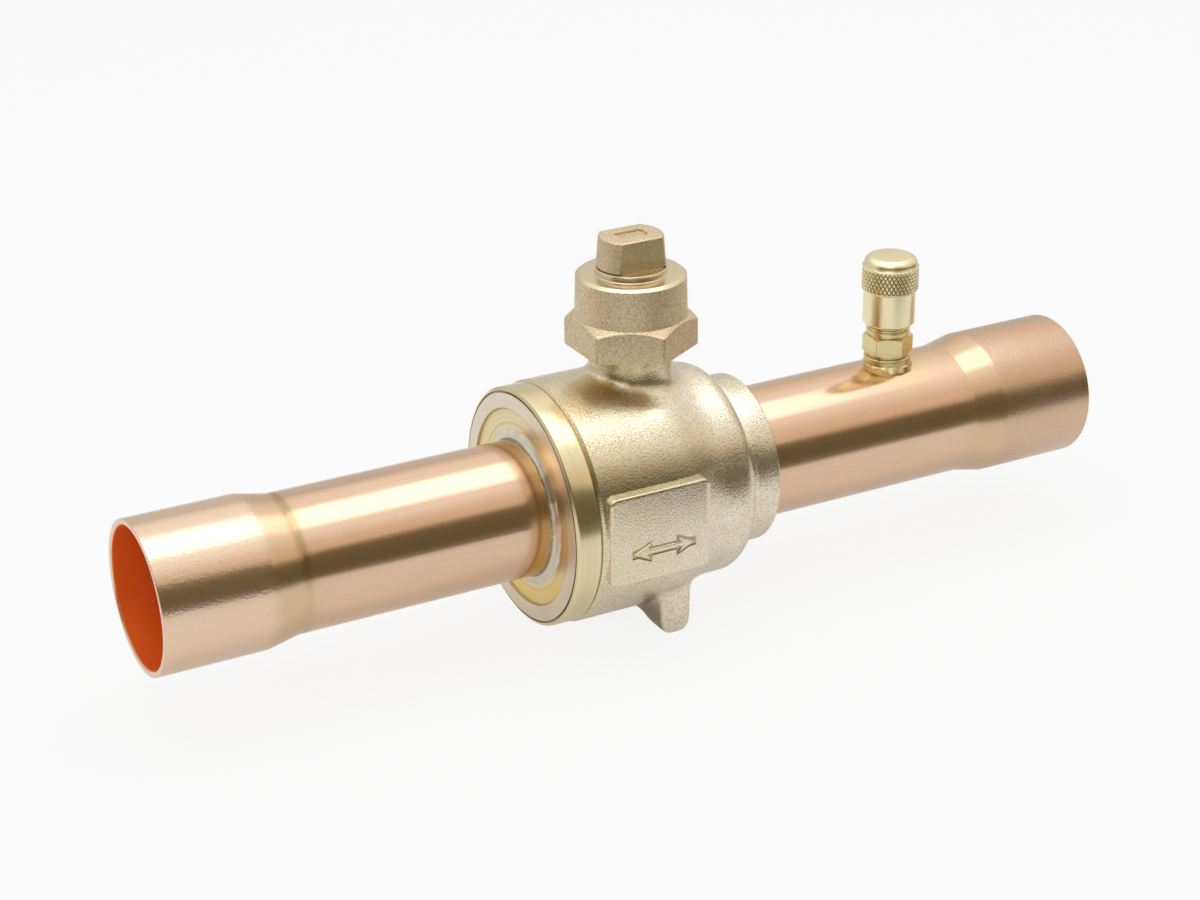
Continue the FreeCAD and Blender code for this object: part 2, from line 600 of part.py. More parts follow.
# Stem: tongue, collar, two O-ring grooves, cross hole for the stop pin, slotted square
def stem():
    body = new_body("stem")
    groove = f"{STEM} - Sizes.packing_depth"
    collar = "Sizes.stem_collar / 2"
    about_stem(body, "shank", [
        ("0", "Sizes.collar_foot"),
        (collar, "Sizes.collar_foot"),
        (collar, COLLAR_TOP),
        (STEM, COLLAR_TOP),
        (STEM, "Sizes.packing_lower"),
        (groove, "Sizes.packing_lower"),
        (groove, "Sizes.packing_lower + Sizes.packing_width"),
        (STEM, "Sizes.packing_lower + Sizes.packing_width"),
        (STEM, "Sizes.packing_upper"),
        (groove, "Sizes.packing_upper"),
        (groove, "Sizes.packing_upper + Sizes.packing_width"),
        (STEM, "Sizes.packing_upper + Sizes.packing_width"),
        (STEM, "Sizes.stem_shoulder"),
        ("0", "Sizes.stem_shoulder"),
    ])
    tongue = outline(body, "tongue_outline", "XY_Plane", [
        ("-Sizes.tongue_width / 2", "-Sizes.tongue_length / 2"),
        ("Sizes.tongue_width / 2", "-Sizes.tongue_length / 2"),
        ("Sizes.tongue_width / 2", "Sizes.tongue_length / 2"),
        ("-Sizes.tongue_width / 2", "Sizes.tongue_length / 2"),
    ], "Sizes.collar_foot")
    raised(body, "tongue", tongue, "Sizes.collar_foot - Sizes.tongue_foot", back=True)
    corner = "Sizes.square_flats / 2"
    square = outline(body, "square_outline", "XY_Plane", [
        (f"-{corner}", f"-{corner}", "Sizes.square_flats / 12"),
        (corner, f"-{corner}", "Sizes.square_flats / 12"),
        (corner, corner, "Sizes.square_flats / 12"),
        (f"-{corner}", corner, "Sizes.square_flats / 12"),
    ], "Sizes.stem_shoulder")
    raised(body, "square", square, size("square_height"))
    slot = outline(body, "slot_outline", "XY_Plane", [
        (f"-{corner}", "-Sizes.slot_width / 2"),
        (corner, "-Sizes.slot_width / 2"),
        (corner, "Sizes.slot_width / 2"),
        (f"-{corner}", "Sizes.slot_width / 2"),
    ], "Sizes.stem_shoulder + Sizes.square_height")
    raised(body, "screwdriver_slot", slot, size("slot_depth"), cut=True)
    cross = disc(body, "cross_hole_outline", "YZ_Plane", size("pin_diameter"),
                 ("0", size("pin_height")))
    raised(body, "cross_hole", cross, size("stem_diameter"), cut=True, both=True)


# Pin through the stem, whose ends strike the neck's stops
def stop_pin():
    body = new_body("stop_pin")
    section = disc(body, "section", "YZ_Plane", size("pin_diameter"), ("0", size("pin_height")))
    raised(body, "length", section, size("pin_length"), both=True)


# Flat ring turned about an axis along Z: inner radius, outer radius, foot and top
def flat_ring(label, inner, outer, foot, top):
    body = new_body(label)
    about_stem(body, "ring", [(inner, foot), (outer, foot), (outer, top), (inner, top)])
    return body


# Forged seal cap: hexagon, turned shoulder, drive boss with two flats, threaded inside
def seal_cap():
    body = new_body("seal_cap")
    hex_top = "(Sizes.cap_foot + Sizes.hex_height)"
    outline_of_hex = hexagon(body, "hexagon", size("cap_flats"), size("hex_round"), size("cap_foot"))
    raised(body, "hex_part", outline_of_hex, size("hex_height"))
    waist = "(Sizes.cap_diameter / 2)"
    far = "(Sizes.cap_flats * 0.65)"
    about_stem(body, "hex_chamfer", [
        (waist, hex_top),
        (far, hex_top),
        (far, f"{hex_top} - Sizes.hex_bevel * ({far} - {waist}) / "
              f"(Sizes.cap_flats / {math.sqrt(3):.6f} - {waist})"),
    ], cut=True)
    rim = "(Sizes.cap_rim / 2)"
    boss_top = "(Sizes.cap_shoulder + Sizes.boss_height)"
    boss_step = "(Sizes.cap_shoulder + Sizes.boss_step)"
    about_stem(body, "upper_part", [
        ("0", f"{hex_top} - Sizes.hex_bevel"),
        (waist, f"{hex_top} - Sizes.hex_bevel"),
        (waist, hex_top),
        (rim, "Sizes.cap_shoulder - Sizes.rim_bevel"),
        (f"{rim} - Sizes.rim_bevel", "Sizes.cap_shoulder"),
        ("Sizes.boss_foot / 2", "Sizes.cap_shoulder"),
        ("Sizes.boss_foot / 2", f"{boss_step} - Sizes.rim_bevel"),
        ("Sizes.boss_diameter / 2", boss_step),
        ("Sizes.boss_top / 2", boss_top, "Sizes.boss_round"),
        ("0", boss_top),
    ])
    flat = "Sizes.boss_flats / 2"
    for side, name in ((-1, "front_flat"), (1, "rear_flat")):
        tool = outline(body, name + "_outline", "XY_Plane", [
            ("-Sizes.cap_diameter", f"{side} * {flat}"),
            ("-Sizes.cap_diameter", f"{side} * Sizes.cap_diameter"),
            ("Sizes.cap_diameter", f"{side} * Sizes.cap_diameter"),
            ("Sizes.cap_diameter", f"{side} * {flat}"),
        ], boss_top)
        raised(body, name, tool, "Sizes.boss_height - Sizes.boss_step", cut=True)
    flat_place = number(flat)
    top_place = number(boss_top)

    def at_flat_top(edge, middle):
        on_flat = abs(abs(middle.y) - flat_place) < 0.01
        return on_flat and abs(middle.z - top_place) < 0.01

    rounded(body, "flat_edges", at_flat_top, "Sizes.boss_round / 2")
    mark = outline(body, "mark_outline", "XY_Plane", [
        ("-Sizes.mark_length / 2", "-Sizes.mark_width / 2", "Sizes.mark_width / 6"),
        ("Sizes.mark_length / 2", "-Sizes.mark_width / 2", "Sizes.mark_width / 6"),
        ("Sizes.mark_length / 2", "Sizes.mark_width / 2", "Sizes.mark_width / 6"),
        ("-Sizes.mark_length / 2", "Sizes.mark_width / 2", "Sizes.mark_width / 6"),
    ], boss_top)
    raised(body, "mark", mark, size("mark_depth"), cut=True)
    ceiling = f"({GASKET_TOP} + Sizes.gasket_gap)"
    well = "Sizes.gasket_bore / 2"
    about_stem(body, "thread_and_well", [
        ("0", "Sizes.cap_foot"),
        (f"{CAP_THREAD} + Sizes.neck_chamfer", "Sizes.cap_foot"),
        (CAP_THREAD, "Sizes.cap_foot + Sizes.neck_chamfer"),
        (CAP_THREAD, ceiling),
        (well, ceiling),
        (well, "Sizes.well_top - Sizes.neck_chamfer"),
        (f"{well} - Sizes.neck_chamfer", "Sizes.well_top"),
        ("0", "Sizes.well_top"),
    ], cut=True)


# The access port's pieces share the port's own axis
def at_access(body):
    body.setExpression("Placement.Base.x", ACCESS_PLACE)
    return body


# Turned access port: spigot, base saddled to the tube, hexagon, thread, core chamber
def access_port():
    body = at_access(new_body("access_port"))
    base = "Sizes.base_diameter / 2"
    waist = "Sizes.waist_diameter / 2"
    about_stem(body, "base", [
        ("0", "Sizes.tube_diameter / 4"),
        (base, "Sizes.tube_diameter / 4"),
        (base, "Sizes.base_top - (Sizes.hexagon_foot - Sizes.base_top) / 2"),
        (f"{base} - (Sizes.hexagon_foot - Sizes.base_top) / 2", "Sizes.base_top"),
        (waist, "Sizes.base_top"),
        (waist, "Sizes.hexagon_foot"),
        ("0", "Sizes.hexagon_foot"),
    ])
    saddle = disc(body, "saddle_outline", "YZ_Plane", f"2 * ({TUBE})")
    raised(body, "saddle", saddle, "2 * Sizes.base_diameter", cut=True, both=True)
    hexagon_outline = hexagon(body, "port_hexagon", size("hexagon_flats"),
                              "Sizes.hexagon_flats / 16", size("hexagon_foot"))
    raised(body, "hex_part", hexagon_outline, "Sizes.hexagon_top - Sizes.hexagon_foot")
    corner = "(Sizes.hexagon_flats * 0.62)"
    drop = f"(({corner} - Sizes.hexagon_flats / 2) * 0.58)"
    for name, level, way in (("upper_chamfer", "Sizes.hexagon_top", "-"),
                             ("lower_chamfer", "Sizes.hexagon_foot", "+")):
        about_stem(body, name, [
            ("Sizes.hexagon_flats / 2", level),
            (corner, level),
            (corner, f"{level} {way} {drop}"),
        ], cut=True)
    relief = "Sizes.access_relief / 2"
    about_stem(body, "thread", [
        ("0", "Sizes.hexagon_top - Sizes.relief_height"),
        (relief, "Sizes.hexagon_top - Sizes.relief_height"),
        (relief, "Sizes.hexagon_top + Sizes.relief_height"),
        (ACCESS_THREAD, "Sizes.hexagon_top + Sizes.relief_height"),
        (ACCESS_THREAD, "Sizes.access_top - Sizes.access_chamfer"),
        (f"{ACCESS_THREAD} - Sizes.access_chamfer", "Sizes.access_top"),
        ("0", "Sizes.access_top"),
    ])
    about_stem(body, "spigot", [
        ("0", f"{TUBE_BORE}"),
        ("Sizes.spigot_outside / 2", f"{TUBE_BORE}"),
        ("Sizes.spigot_outside / 2", f"{TUBE} + Sizes.joint_gap"),
        ("0", f"{TUBE} + Sizes.joint_gap"),
    ])
    about_stem(body, "chamber", [
        ("0", "0"),
        ("Sizes.spigot_bore / 2", "0"),
        ("Sizes.spigot_bore / 2", "Sizes.chamber_floor"),
        ("Sizes.core_chamber / 2", "Sizes.chamber_floor"),
        ("Sizes.core_chamber / 2", "Sizes.access_top"),
        ("0", "Sizes.access_top"),
    ], cut=True)


# Braze fillet where the port's base meets the stub
def access_braze():
    body = at_access(new_body("access_braze"))
    base = "Sizes.base_diameter / 2"
    about_stem(body, "fillet", [
        (base, "Sizes.tube_diameter / 4"),
        (f"{base} + Sizes.access_braze", "Sizes.tube_diameter / 4"),
        (f"{base} + Sizes.access_braze", f"{TUBE} - Sizes.access_braze"),
        (base, f"{TUBE} + Sizes.access_braze / 4"),
    ])
    saddle = disc(body, "saddle_outline", "YZ_Plane", f"2 * ({TUBE})")
    raised(body, "saddle", saddle, "4 * Sizes.base_diameter", cut=True, both=True)


# Valve core: threaded head, barrel with a spring chamber and two guide holes
def core_body():
    body = at_access(new_body("core_body"))
    guide = "(Sizes.core_pin / 2 + Sizes.guide_clearance)"
    chamber = "Sizes.spring_chamber / 2"
    barrel = "Sizes.core_barrel / 2"
    head_foot = "(Sizes.core_top - Sizes.head_height)"
    about_stem(body, "core_turning", [
        (guide, "Sizes.core_foot"),
        (barrel, "Sizes.core_foot"),
        (barrel, f"{head_foot} - Sizes.core_floor"),
        ("Sizes.core_head / 2", head_foot),
        ("Sizes.core_head / 2", "Sizes.core_top"),
        (guide, "Sizes.core_top"),
        (guide, "Sizes.core_top - Sizes.core_floor"),
        (chamber, "Sizes.core_top - Sizes.core_floor"),
        (chamber, "Sizes.core_foot + Sizes.core_floor"),
        (guide, "Sizes.core_foot + Sizes.core_floor"),
    ])


# Pin of the core, with the poppet at its foot and the collar that the spring lifts
def core_pin():
    body = at_access(new_body("core_pin"))
    pin = "Sizes.core_pin / 2"
    poppet_top = "(Sizes.core_foot - Sizes.poppet_gap - Sizes.poppet_seal)"
    about_stem(body, "pin_turning", [
        ("0", f"{poppet_top} - Sizes.poppet_thickness"),
        ("Sizes.poppet_diameter / 2", f"{poppet_top} - Sizes.poppet_thickness"),
        ("Sizes.poppet_diameter / 2", poppet_top),
        (pin, poppet_top),
        (pin, "Sizes.collar_place"),
        ("Sizes.pin_collar / 2", "Sizes.collar_place"),
        ("Sizes.pin_collar / 2", "Sizes.collar_place + Sizes.collar_thickness"),
        (pin, "Sizes.collar_place + Sizes.collar_thickness"),
        (pin, "Sizes.pin_top - Sizes.core_pin / 4"),
        ("Sizes.core_pin / 4", "Sizes.pin_top"),
        ("0", "Sizes.pin_top"),
    ])


# Coil spring between the core's floor and the pin's collar
def core_spring():
    body = at_access(new_body("core_spring"))
    foot = "(Sizes.core_foot + Sizes.core_floor + Sizes.spring_wire / 2)"
    rise = f"(Sizes.collar_place - Sizes.spring_wire / 2 - {foot})"
    wire = disc(body, "wire_outline", "XZ_Plane", size("spring_wire"),
                ("Sizes.spring_diameter / 2", foot))
    coil = body.newObject("PartDesign::AdditiveHelix", "coil")
    coil.Profile = wire
    coil.ReferenceAxis = (wire, ["V_Axis"])
    coil.Mode = "pitch-height-angle"
    coil.setExpression("Pitch", f"{rise} / Sizes.spring_turns")
    coil.setExpression("Height", rise)
    wire.Visibility = False


# Access cap: smooth barrel, knurled grip with a rounded crown, threaded inside
def access_cap():
    body = at_access(new_body("access_cap"))
    barrel = "Sizes.lid_barrel / 2"
    grip = "Sizes.lid_diameter / 2"
    about_stem(body, "cap_turning", [
        ("0", "Sizes.lid_foot"),
        (f"{barrel} - Sizes.lid_chamfer", "Sizes.lid_foot"),
        (barrel, "Sizes.lid_foot + Sizes.lid_chamfer"),
        (barrel, "Sizes.knurl_foot - Sizes.lid_chamfer / 2"),
        (grip, "Sizes.knurl_foot"),
        (grip, "Sizes.lid_top - Sizes.crown_drop", "Sizes.crown_drop"),
        ("Sizes.lid_crown / 2", "Sizes.lid_top", "Sizes.crown_drop"),
        ("0", "Sizes.lid_top"),
    ])
    ceiling = f"({LID_SEAL_FOOT} + Sizes.lid_seal + Sizes.lid_seal_gap)"
    bore = f"({ACCESS_THREAD} + Sizes.thread_clearance)"
    about_stem(body, "cap_thread", [
        ("0", "Sizes.lid_foot"),
        (bore, "Sizes.lid_foot"),
        (bore, ceiling),
        ("0", ceiling),
    ], cut=True)


valve_body()
end_connector()
stub("inlet_stub", -1)
stub("outlet_stub", 1)
inlet_braze()
ball()
seat("inlet_seat", -1)
seat("outlet_seat", 1)
o_ring("connector_o_ring", f"({SPIGOT} - Sizes.gland_depth)", f"({SPIGOT} + Sizes.thread_clearance)",
       True, ("-Sizes.seam_offset + Sizes.gland_offset + Sizes.gland_width / 2", None, None))
stem()
stop_pin()
for place in ("lower", "upper"):
    o_ring(f"stem_o_ring_{place}", f"({STEM} - Sizes.packing_depth)", STEM, False,
           (None, None, f"Sizes.packing_{place} + Sizes.packing_width / 2"))
flat_ring("thrust_washer", STEM_BORE, "Sizes.stem_collar / 2",
          COLLAR_TOP, f"{COLLAR_TOP} + Sizes.washer_thickness")
flat_ring("cap_gasket", "Sizes.gasket_bore / 2", f"{CAP_THREAD} - 2 * Sizes.thread_clearance",
          "Sizes.neck_top + Sizes.gasket_gap", GASKET_TOP)
seal_cap()
access_port()
access_braze()
core_body()
at_access(flat_ring("core_seal_ring", "Sizes.core_barrel / 2", "Sizes.core_head / 2",
                    "Sizes.core_ring_foot", "Sizes.core_ring_foot + Sizes.core_ring_height"))
core_pin()
at_access(flat_ring("poppet_seal", "Sizes.core_pin / 2", "Sizes.poppet_diameter / 2",
                    "Sizes.core_foot - Sizes.poppet_gap - Sizes.poppet_seal",
                    "Sizes.core_foot - Sizes.poppet_gap"))
core_spring()
lid_seal = at_access(new_body("access_cap_seal"))
about_stem(lid_seal, "disc", [
    ("0", LID_SEAL_FOOT),
    (f"{ACCESS_THREAD} - Sizes.thread_clearance", LID_SEAL_FOOT),
    (f"{ACCESS_THREAD} - Sizes.thread_clearance", f"{LID_SEAL_FOOT} + Sizes.lid_seal"),
    ("0", f"{LID_SEAL_FOOT} + Sizes.lid_seal"),
])
access_cap()

doc.recompute()
faults = []
for item in doc.Objects:
    if {"Invalid", "Error"} & set(item.State):
        faults.append(f"{item.Label} did not build")
for piece in pieces:
    shape = piece.Shape
    if shape.isNull() or not shape.isValid() or not shape.Solids:
        faults.append(f"{piece.Label} is not a valid solid")
if faults:
    raise RuntimeError("; ".join(faults))

os.makedirs("parts", exist_ok=True)
for piece in pieces:
    piece.Shape.exportStep(os.path.join("parts", piece.Label + ".step"))
    print(piece.Label, len(piece.Shape.Solids), round(piece.Shape.Volume, 2))
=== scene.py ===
import math

import bmesh
import bpy
from mathutils import Matrix, Vector, noise


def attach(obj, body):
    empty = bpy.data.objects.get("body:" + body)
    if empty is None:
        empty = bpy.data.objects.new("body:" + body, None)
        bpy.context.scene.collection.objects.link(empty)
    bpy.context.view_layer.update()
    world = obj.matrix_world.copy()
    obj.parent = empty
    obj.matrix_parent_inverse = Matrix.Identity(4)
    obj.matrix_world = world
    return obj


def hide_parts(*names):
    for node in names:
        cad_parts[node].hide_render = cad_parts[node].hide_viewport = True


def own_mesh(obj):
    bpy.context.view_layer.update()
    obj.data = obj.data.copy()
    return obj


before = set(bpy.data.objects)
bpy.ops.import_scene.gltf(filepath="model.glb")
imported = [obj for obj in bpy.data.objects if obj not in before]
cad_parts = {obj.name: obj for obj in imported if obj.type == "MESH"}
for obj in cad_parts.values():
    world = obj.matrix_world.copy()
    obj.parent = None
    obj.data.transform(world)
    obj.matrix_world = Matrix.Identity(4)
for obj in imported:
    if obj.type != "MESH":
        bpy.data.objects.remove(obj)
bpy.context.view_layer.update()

MM = 0.001

# Camera: it looks down on the valve from the inlet side, through a long lens. Its place was
# found from the circles of the tubes, flange and cap. Lengths are in metres here.
CAMERA_PLACE = Vector((-0.23671, -0.42124, 0.22398))
CAMERA_RIGHT = Vector((0.87687, -0.48068, -0.00676))
CAMERA_UP = Vector((0.20226, 0.35613, 0.91228))
FOCAL_PIXELS = 2531.54
PICTURE_WIDTH = 1200

camera = bpy.data.objects.new("camera", bpy.data.cameras.new("camera"))
bpy.context.scene.collection.objects.link(camera)
camera.matrix_world = Matrix.Translation(CAMERA_PLACE) @ Matrix((
    CAMERA_RIGHT, CAMERA_UP, CAMERA_RIGHT.cross(CAMERA_UP))).transposed().to_4x4()
camera.data.sensor_fit = "HORIZONTAL"
camera.data.sensor_width = 36
camera.data.lens = camera.data.sensor_width * FOCAL_PIXELS / PICTURE_WIDTH
camera.data.clip_start = 0.01
bpy.context.scene.camera = camera


# Forged body: brass stamped hot in one piece, with its neck, label pad and foot, then
# shot-blasted all over. Afterwards the waterway, stem bore, collar and neck are turned.
# Lengths are in millimetres from here on.
ABOUT_PIPE = Vector((1, 0, 0))
ABOUT_STEM = Vector((0, 0, 1))
SEAM = -20.5
BARREL = 25.6
OUTLET_BARREL = 22.7
SHOULDER = 18.4
COLLAR_END = 25.7
COLLAR = 18.2
NECK = 8.65
NECK_SHOULDER = 31.0
NECK_THREAD = 8.0
NECK_TOP = 40.0
SPIGOT_BORE = 21.6
CHAMBER = 19.4
CHAMBER_END = 10.5
SEAT_POCKET = 17.75
POCKET_END = 16.0
WATERWAY = 12.7
TUBE_SEAT = 19.0
TUBE_JOINT = 14.35
STEM_BORE = 4.55
STEM_COLLAR = 6.6
COLLAR_STOP = 22.65
PAD_FRONT = -26.02
PAD_LEFT, PAD_RIGHT = -19.2, 3.9
PAD_LOW, PAD_HIGH = -9.4, 10.2
FOOT_LEFT, FOOT_RIGHT = -3.5, 4.1
FOOT_LEVEL = -27.7
FOOT_HALF = 18.6
ARCH_HALF = 15.0
ARCH_TOP = -25.6
GRID = 0.42


def round_corners(mesh, corners, verts, arc_step=9):
    """Rounds those corners of a flat outline that name a radius as their third number."""
    count = len(verts)
    for index, corner in enumerate(corners):
        if len(corner) < 3:
            continue
        spot = Vector(corner[:2])
        back = (Vector(corners[index - 1][:2]) - spot).normalized()
        ahead = (Vector(corners[(index + 1) % count][:2]) - spot).normalized()
        inside = back.angle(ahead)
        segments = max(3, round((180 - math.degrees(inside)) / arc_step))
        bmesh.ops.bevel(mesh, geom=[verts[index]], offset=corner[2] * MM / math.tan(inside / 2),
                        offset_type="OFFSET", affect="VERTICES", segments=segments,
                        profile=0.5, material=-1, clamp_overlap=True)


def turn(axis, corners, steps=128, place=(0, 0, 0), tube=False):
    """Spins an outline of (along, radius) corners; unless a tube, it ends on the axis."""
    mesh = bmesh.new()
    place = Vector(place)
    outward = ABOUT_STEM if axis is ABOUT_PIPE else ABOUT_PIPE
    verts = [mesh.verts.new((place + axis * corner[0] + outward * corner[1]) * MM)
             for corner in corners]
    ends = verts[1:] + verts[:1] if tube else verts[1:]
    for pair in zip(verts, ends):
        mesh.edges.new(pair)
    round_corners(mesh, corners, verts)
    bmesh.ops.spin(mesh, geom=mesh.verts[:] + mesh.edges[:], cent=place * MM, axis=axis,
                   angle=2 * math.pi, steps=steps, use_merge=True)
    return closed(mesh)


def closed(mesh):
    """Merges doubles and turns every face outwards."""
    bmesh.ops.remove_doubles(mesh, verts=mesh.verts, dist=1e-6)
    bmesh.ops.dissolve_degenerate(mesh, edges=mesh.edges, dist=1e-7)
    bmesh.ops.recalc_face_normals(mesh, faces=mesh.faces)
    return mesh


def fill_ends(mesh):
    """Closes open ends with flat faces."""
    bmesh.ops.holes_fill(mesh, edges=[edge for edge in mesh.edges if edge.is_boundary], sides=0)


def rectangle(left, right, low, high, rounding):
    """The corners of a flat outline, for raise_outline."""
    return [(left, low, rounding), (right, low, rounding), (right, high, rounding),
            (left, high, rounding)]


def raise_outline(axis, corners, low, high):
    """Raises a flat outline from one level to another along X, Y or Z."""
    mesh = bmesh.new()
    spots = {"X": lambda a, b: (low, a, b), "Y": lambda a, b: (a, low, b),
             "Z": lambda a, b: (a, b, low)}[axis]
    verts = [mesh.verts.new(Vector(spots(corner[0], corner[1])) * MM) for corner in corners]
    mesh.faces.new(verts)
    round_corners(mesh, corners, verts)
    lifted = bmesh.ops.extrude_face_region(mesh, geom=mesh.faces[:])["geom"]
    rise = Vector([high - low if letter == axis else 0 for letter in "XYZ"])
    bmesh.ops.translate(mesh, vec=rise * MM,
                        verts=[item for item in lifted if isinstance(item, bmesh.types.BMVert)])
    return closed(mesh)


def edges_at(mesh, axis, level):
    """The edges that lie at one level along X, Y or Z."""
    index = "XYZ".index(axis)
    return [edge for edge in mesh.edges
            if all(abs(vert.co[index] / MM - level) < 1e-3 for vert in edge.verts)]


def soften(mesh, edges, radius, segments=3):
    """Rounds edges with a bevel."""
    bmesh.ops.bevel(mesh, geom=edges, offset=radius * MM, offset_type="OFFSET",
                    affect="EDGES", segments=segments, profile=0.5, material=-1,
                    clamp_overlap=True)
    return mesh


def new_object(name, mesh):
    """The object of a mesh, at the origin; the mesh is used up."""
    data = bpy.data.meshes.new(name)
    mesh.to_mesh(data)
    mesh.free()
    item = bpy.data.objects.new(name, data)
    bpy.context.scene.collection.objects.link(item)
    return item


def worked(item, *helpers):
    """The mesh that a passing object's modifiers give; the objects are removed."""
    evaluated = item.evaluated_get(bpy.context.evaluated_depsgraph_get())
    result = bmesh.new()
    result.from_mesh(evaluated.to_mesh())
    evaluated.to_mesh_clear()
    for passing in (item, *helpers):
        bpy.data.objects.remove(passing)
    return result


def combine(operation, blank, *tools):
    """Joins tools to a blank, cuts them from it, or keeps what they share."""
    for tool in tools:
        item, helper = new_object("blank", blank), new_object("tool", tool)
        modifier = item.modifiers.new("combine", "BOOLEAN")
        modifier.operation = operation
        modifier.solver = "MANIFOLD"
        modifier.object = helper
        blank = worked(item, helper)
    return blank


def even_grid(mesh, width):
    """The same shape on an even grid of small faces."""
    item = new_object("blank", mesh)
    grid = item.modifiers.new("grid", "REMESH")
    grid.mode = "VOXEL"
    grid.voxel_size = width * MM
    return worked(item)


def smooth_out(mesh, rounds, chosen=lambda spot: True):
    """Softens the part of an even grid that a test on millimetres picks out."""
    verts = [vert for vert in mesh.verts if chosen(vert.co / MM)]
    for _ in range(rounds):
        bmesh.ops.smooth_vert(mesh, verts=verts, factor=0.5, use_axis_x=True,
                              use_axis_y=True, use_axis_z=True)
    return mesh


def thread_groove(radius, depth, pitch, foot, top, place=(0, 0, 0), steps=48):
    """A screw-shaped cutter for the V groove of a thread about the stem's direction."""
    mesh = bmesh.new()
    place = Vector(place)
    turns = (top - foot) / pitch
    section = ((radius - depth, 0), (radius + 0.3, -0.46 * pitch), (radius + 0.3, 0.46 * pitch))
    verts = [mesh.verts.new((place + Vector((out, 0, foot + along))) * MM)
             for out, along in section]
    for pair in zip(verts, verts[1:] + verts[:1]):
        mesh.edges.new(pair)
    bmesh.ops.spin(mesh, geom=mesh.verts[:] + mesh.edges[:], cent=place * MM, axis=ABOUT_STEM,
                   dvec=Vector((0, 0, pitch / steps)) * MM, angle=2 * math.pi * turns,
                   steps=round(turns * steps), use_merge=False)
    fill_ends(mesh)
    bmesh.ops.recalc_face_normals(mesh, faces=mesh.faces)
    return mesh


class Signal:
    """One output of a shader node; expressions on it add the nodes that work them out."""

    def __init__(self, finish, socket):
        self.finish = finish
        self.socket = socket

    def maths(self, operation, *values):
        return self.finish.add("ShaderNodeMath", {"operation": operation}, *values)

    def __add__(self, other):
        return self.maths("ADD", self, other)

    def __sub__(self, other):
        return self.maths("SUBTRACT", self, other)

    def __rsub__(self, other):
        return self.maths("SUBTRACT", other, self)

    def __mul__(self, other):
        return self.maths("MULTIPLY", self, other)

    def __pow__(self, other):
        return self.maths("POWER", self, other)

    def __abs__(self):
        return self.maths("ABSOLUTE", self)

    __radd__ = __add__
    __rmul__ = __mul__

    def larger(self, other):
        return self.maths("MAXIMUM", self, other)

    def smaller(self, other):
        return self.maths("MINIMUM", self, other)

    def step(self, start, end):
        """Goes smoothly from 0 at start to 1 at end."""
        return self.finish.add("ShaderNodeMapRange", {"interpolation_type": "SMOOTHSTEP"},
                               Value=self, From_Min=start, From_Max=end)


class Nodes:
    """The nodes of one material or of the world."""

    def __init__(self, tree):
        self.tree = tree

    def link(self, value, socket):
        if isinstance(value, Signal):
            self.tree.links.new(value.socket, socket)
        elif isinstance(value, tuple) and len(value) == 3 and socket.type == "RGBA":
            socket.default_value = (*value, 1)
        else:
            socket.default_value = value

    def add(self, kind, settings=None, *values, output=0, **named):
        """Adds a node: its settings first, then the values or links of its sockets."""
        node = self.tree.nodes.new(kind)
        for key, value in (settings or {}).items():
            setattr(node, key, value)
        for index, value in enumerate(values):
            self.link(value, node.inputs[index])
        for key, value in named.items():
            self.link(value, node.inputs[key.replace("_", " ")])
        return Signal(self, node.outputs[output])

    def vector(self, operation, *values, output=0, **named):
        return self.add("ShaderNodeVectorMath", {"operation": operation}, *values,
                        output=output, **named)

    def mix(self, share, first, second):
        """A colour that goes from first to second with the share."""
        node = self.tree.nodes.new("ShaderNodeMix")
        node.data_type = "RGBA"
        self.link(share, node.inputs["Factor"])
        self.link(first, node.inputs[6])
        self.link(second, node.inputs[7])
        return Signal(self, node.outputs[2])


class Finish(Nodes):
    """The node material of one finish; its place is the object's own, in millimetres."""

    def __init__(self, name, **constants):
        self.material = bpy.data.materials.new(name)
        self.material.use_nodes = True
        super().__init__(self.material.node_tree)
        self.shader = self.tree.nodes["Principled BSDF"]
        for key, value in constants.items():
            self.shader.inputs[key.replace("_", " ")].default_value = value
        place = self.add("ShaderNodeTexCoord", output="Object")
        self.place = self.vector("SCALE", place, Scale=1 / MM)
        self.x, self.y, self.z = [self.add("ShaderNodeSeparateXYZ", None, self.place, output=axis)
                                  for axis in "XYZ"]

    def mottle(self, size, detail=2.0, place=None, stretch=None):
        """Noise from 0 to 1 in lumps about size millimetres wide."""
        place = place or self.place
        if stretch:
            place = self.vector("MULTIPLY", place, stretch)
        return self.add("ShaderNodeTexNoise", None, Vector=place, Scale=1 / size, Detail=detail)

    def about_pipe(self):
        """Distance from the pipe's axis."""
        return (self.y * self.y + self.z * self.z) ** 0.5

    def about_stem(self, x=0):
        """Distance from the stem's axis, or from an upright axis further along."""
        return ((self.x - x) * (self.x - x) + self.y * self.y) ** 0.5

    def near(self, spot, start, end):
        """0 beyond start millimetres from a spot, 1 within end."""
        return self.vector("DISTANCE", self.place, spot, output="Value").step(start, end)

    def tool_marks(self, along, radius, width):
        """Fine rings that a lathe tool leaves: they depend on place along and radius only."""
        spot = self.add("ShaderNodeCombineXYZ", None, along, radius, 0.0)
        return self.mottle(width, 3.0, spot)

    def done(self, colour, roughness, height, depth):
        """Feeds the shader; the height's full range is depth millimetres deep."""
        self.link(colour, self.shader.inputs["Base Color"])
        self.link(roughness, self.shader.inputs["Roughness"])
        relief = self.add("ShaderNodeBump", None, Height=height, Distance=depth * MM, Strength=1.0)
        self.link(relief, self.shader.inputs["Normal"])
        return self.material


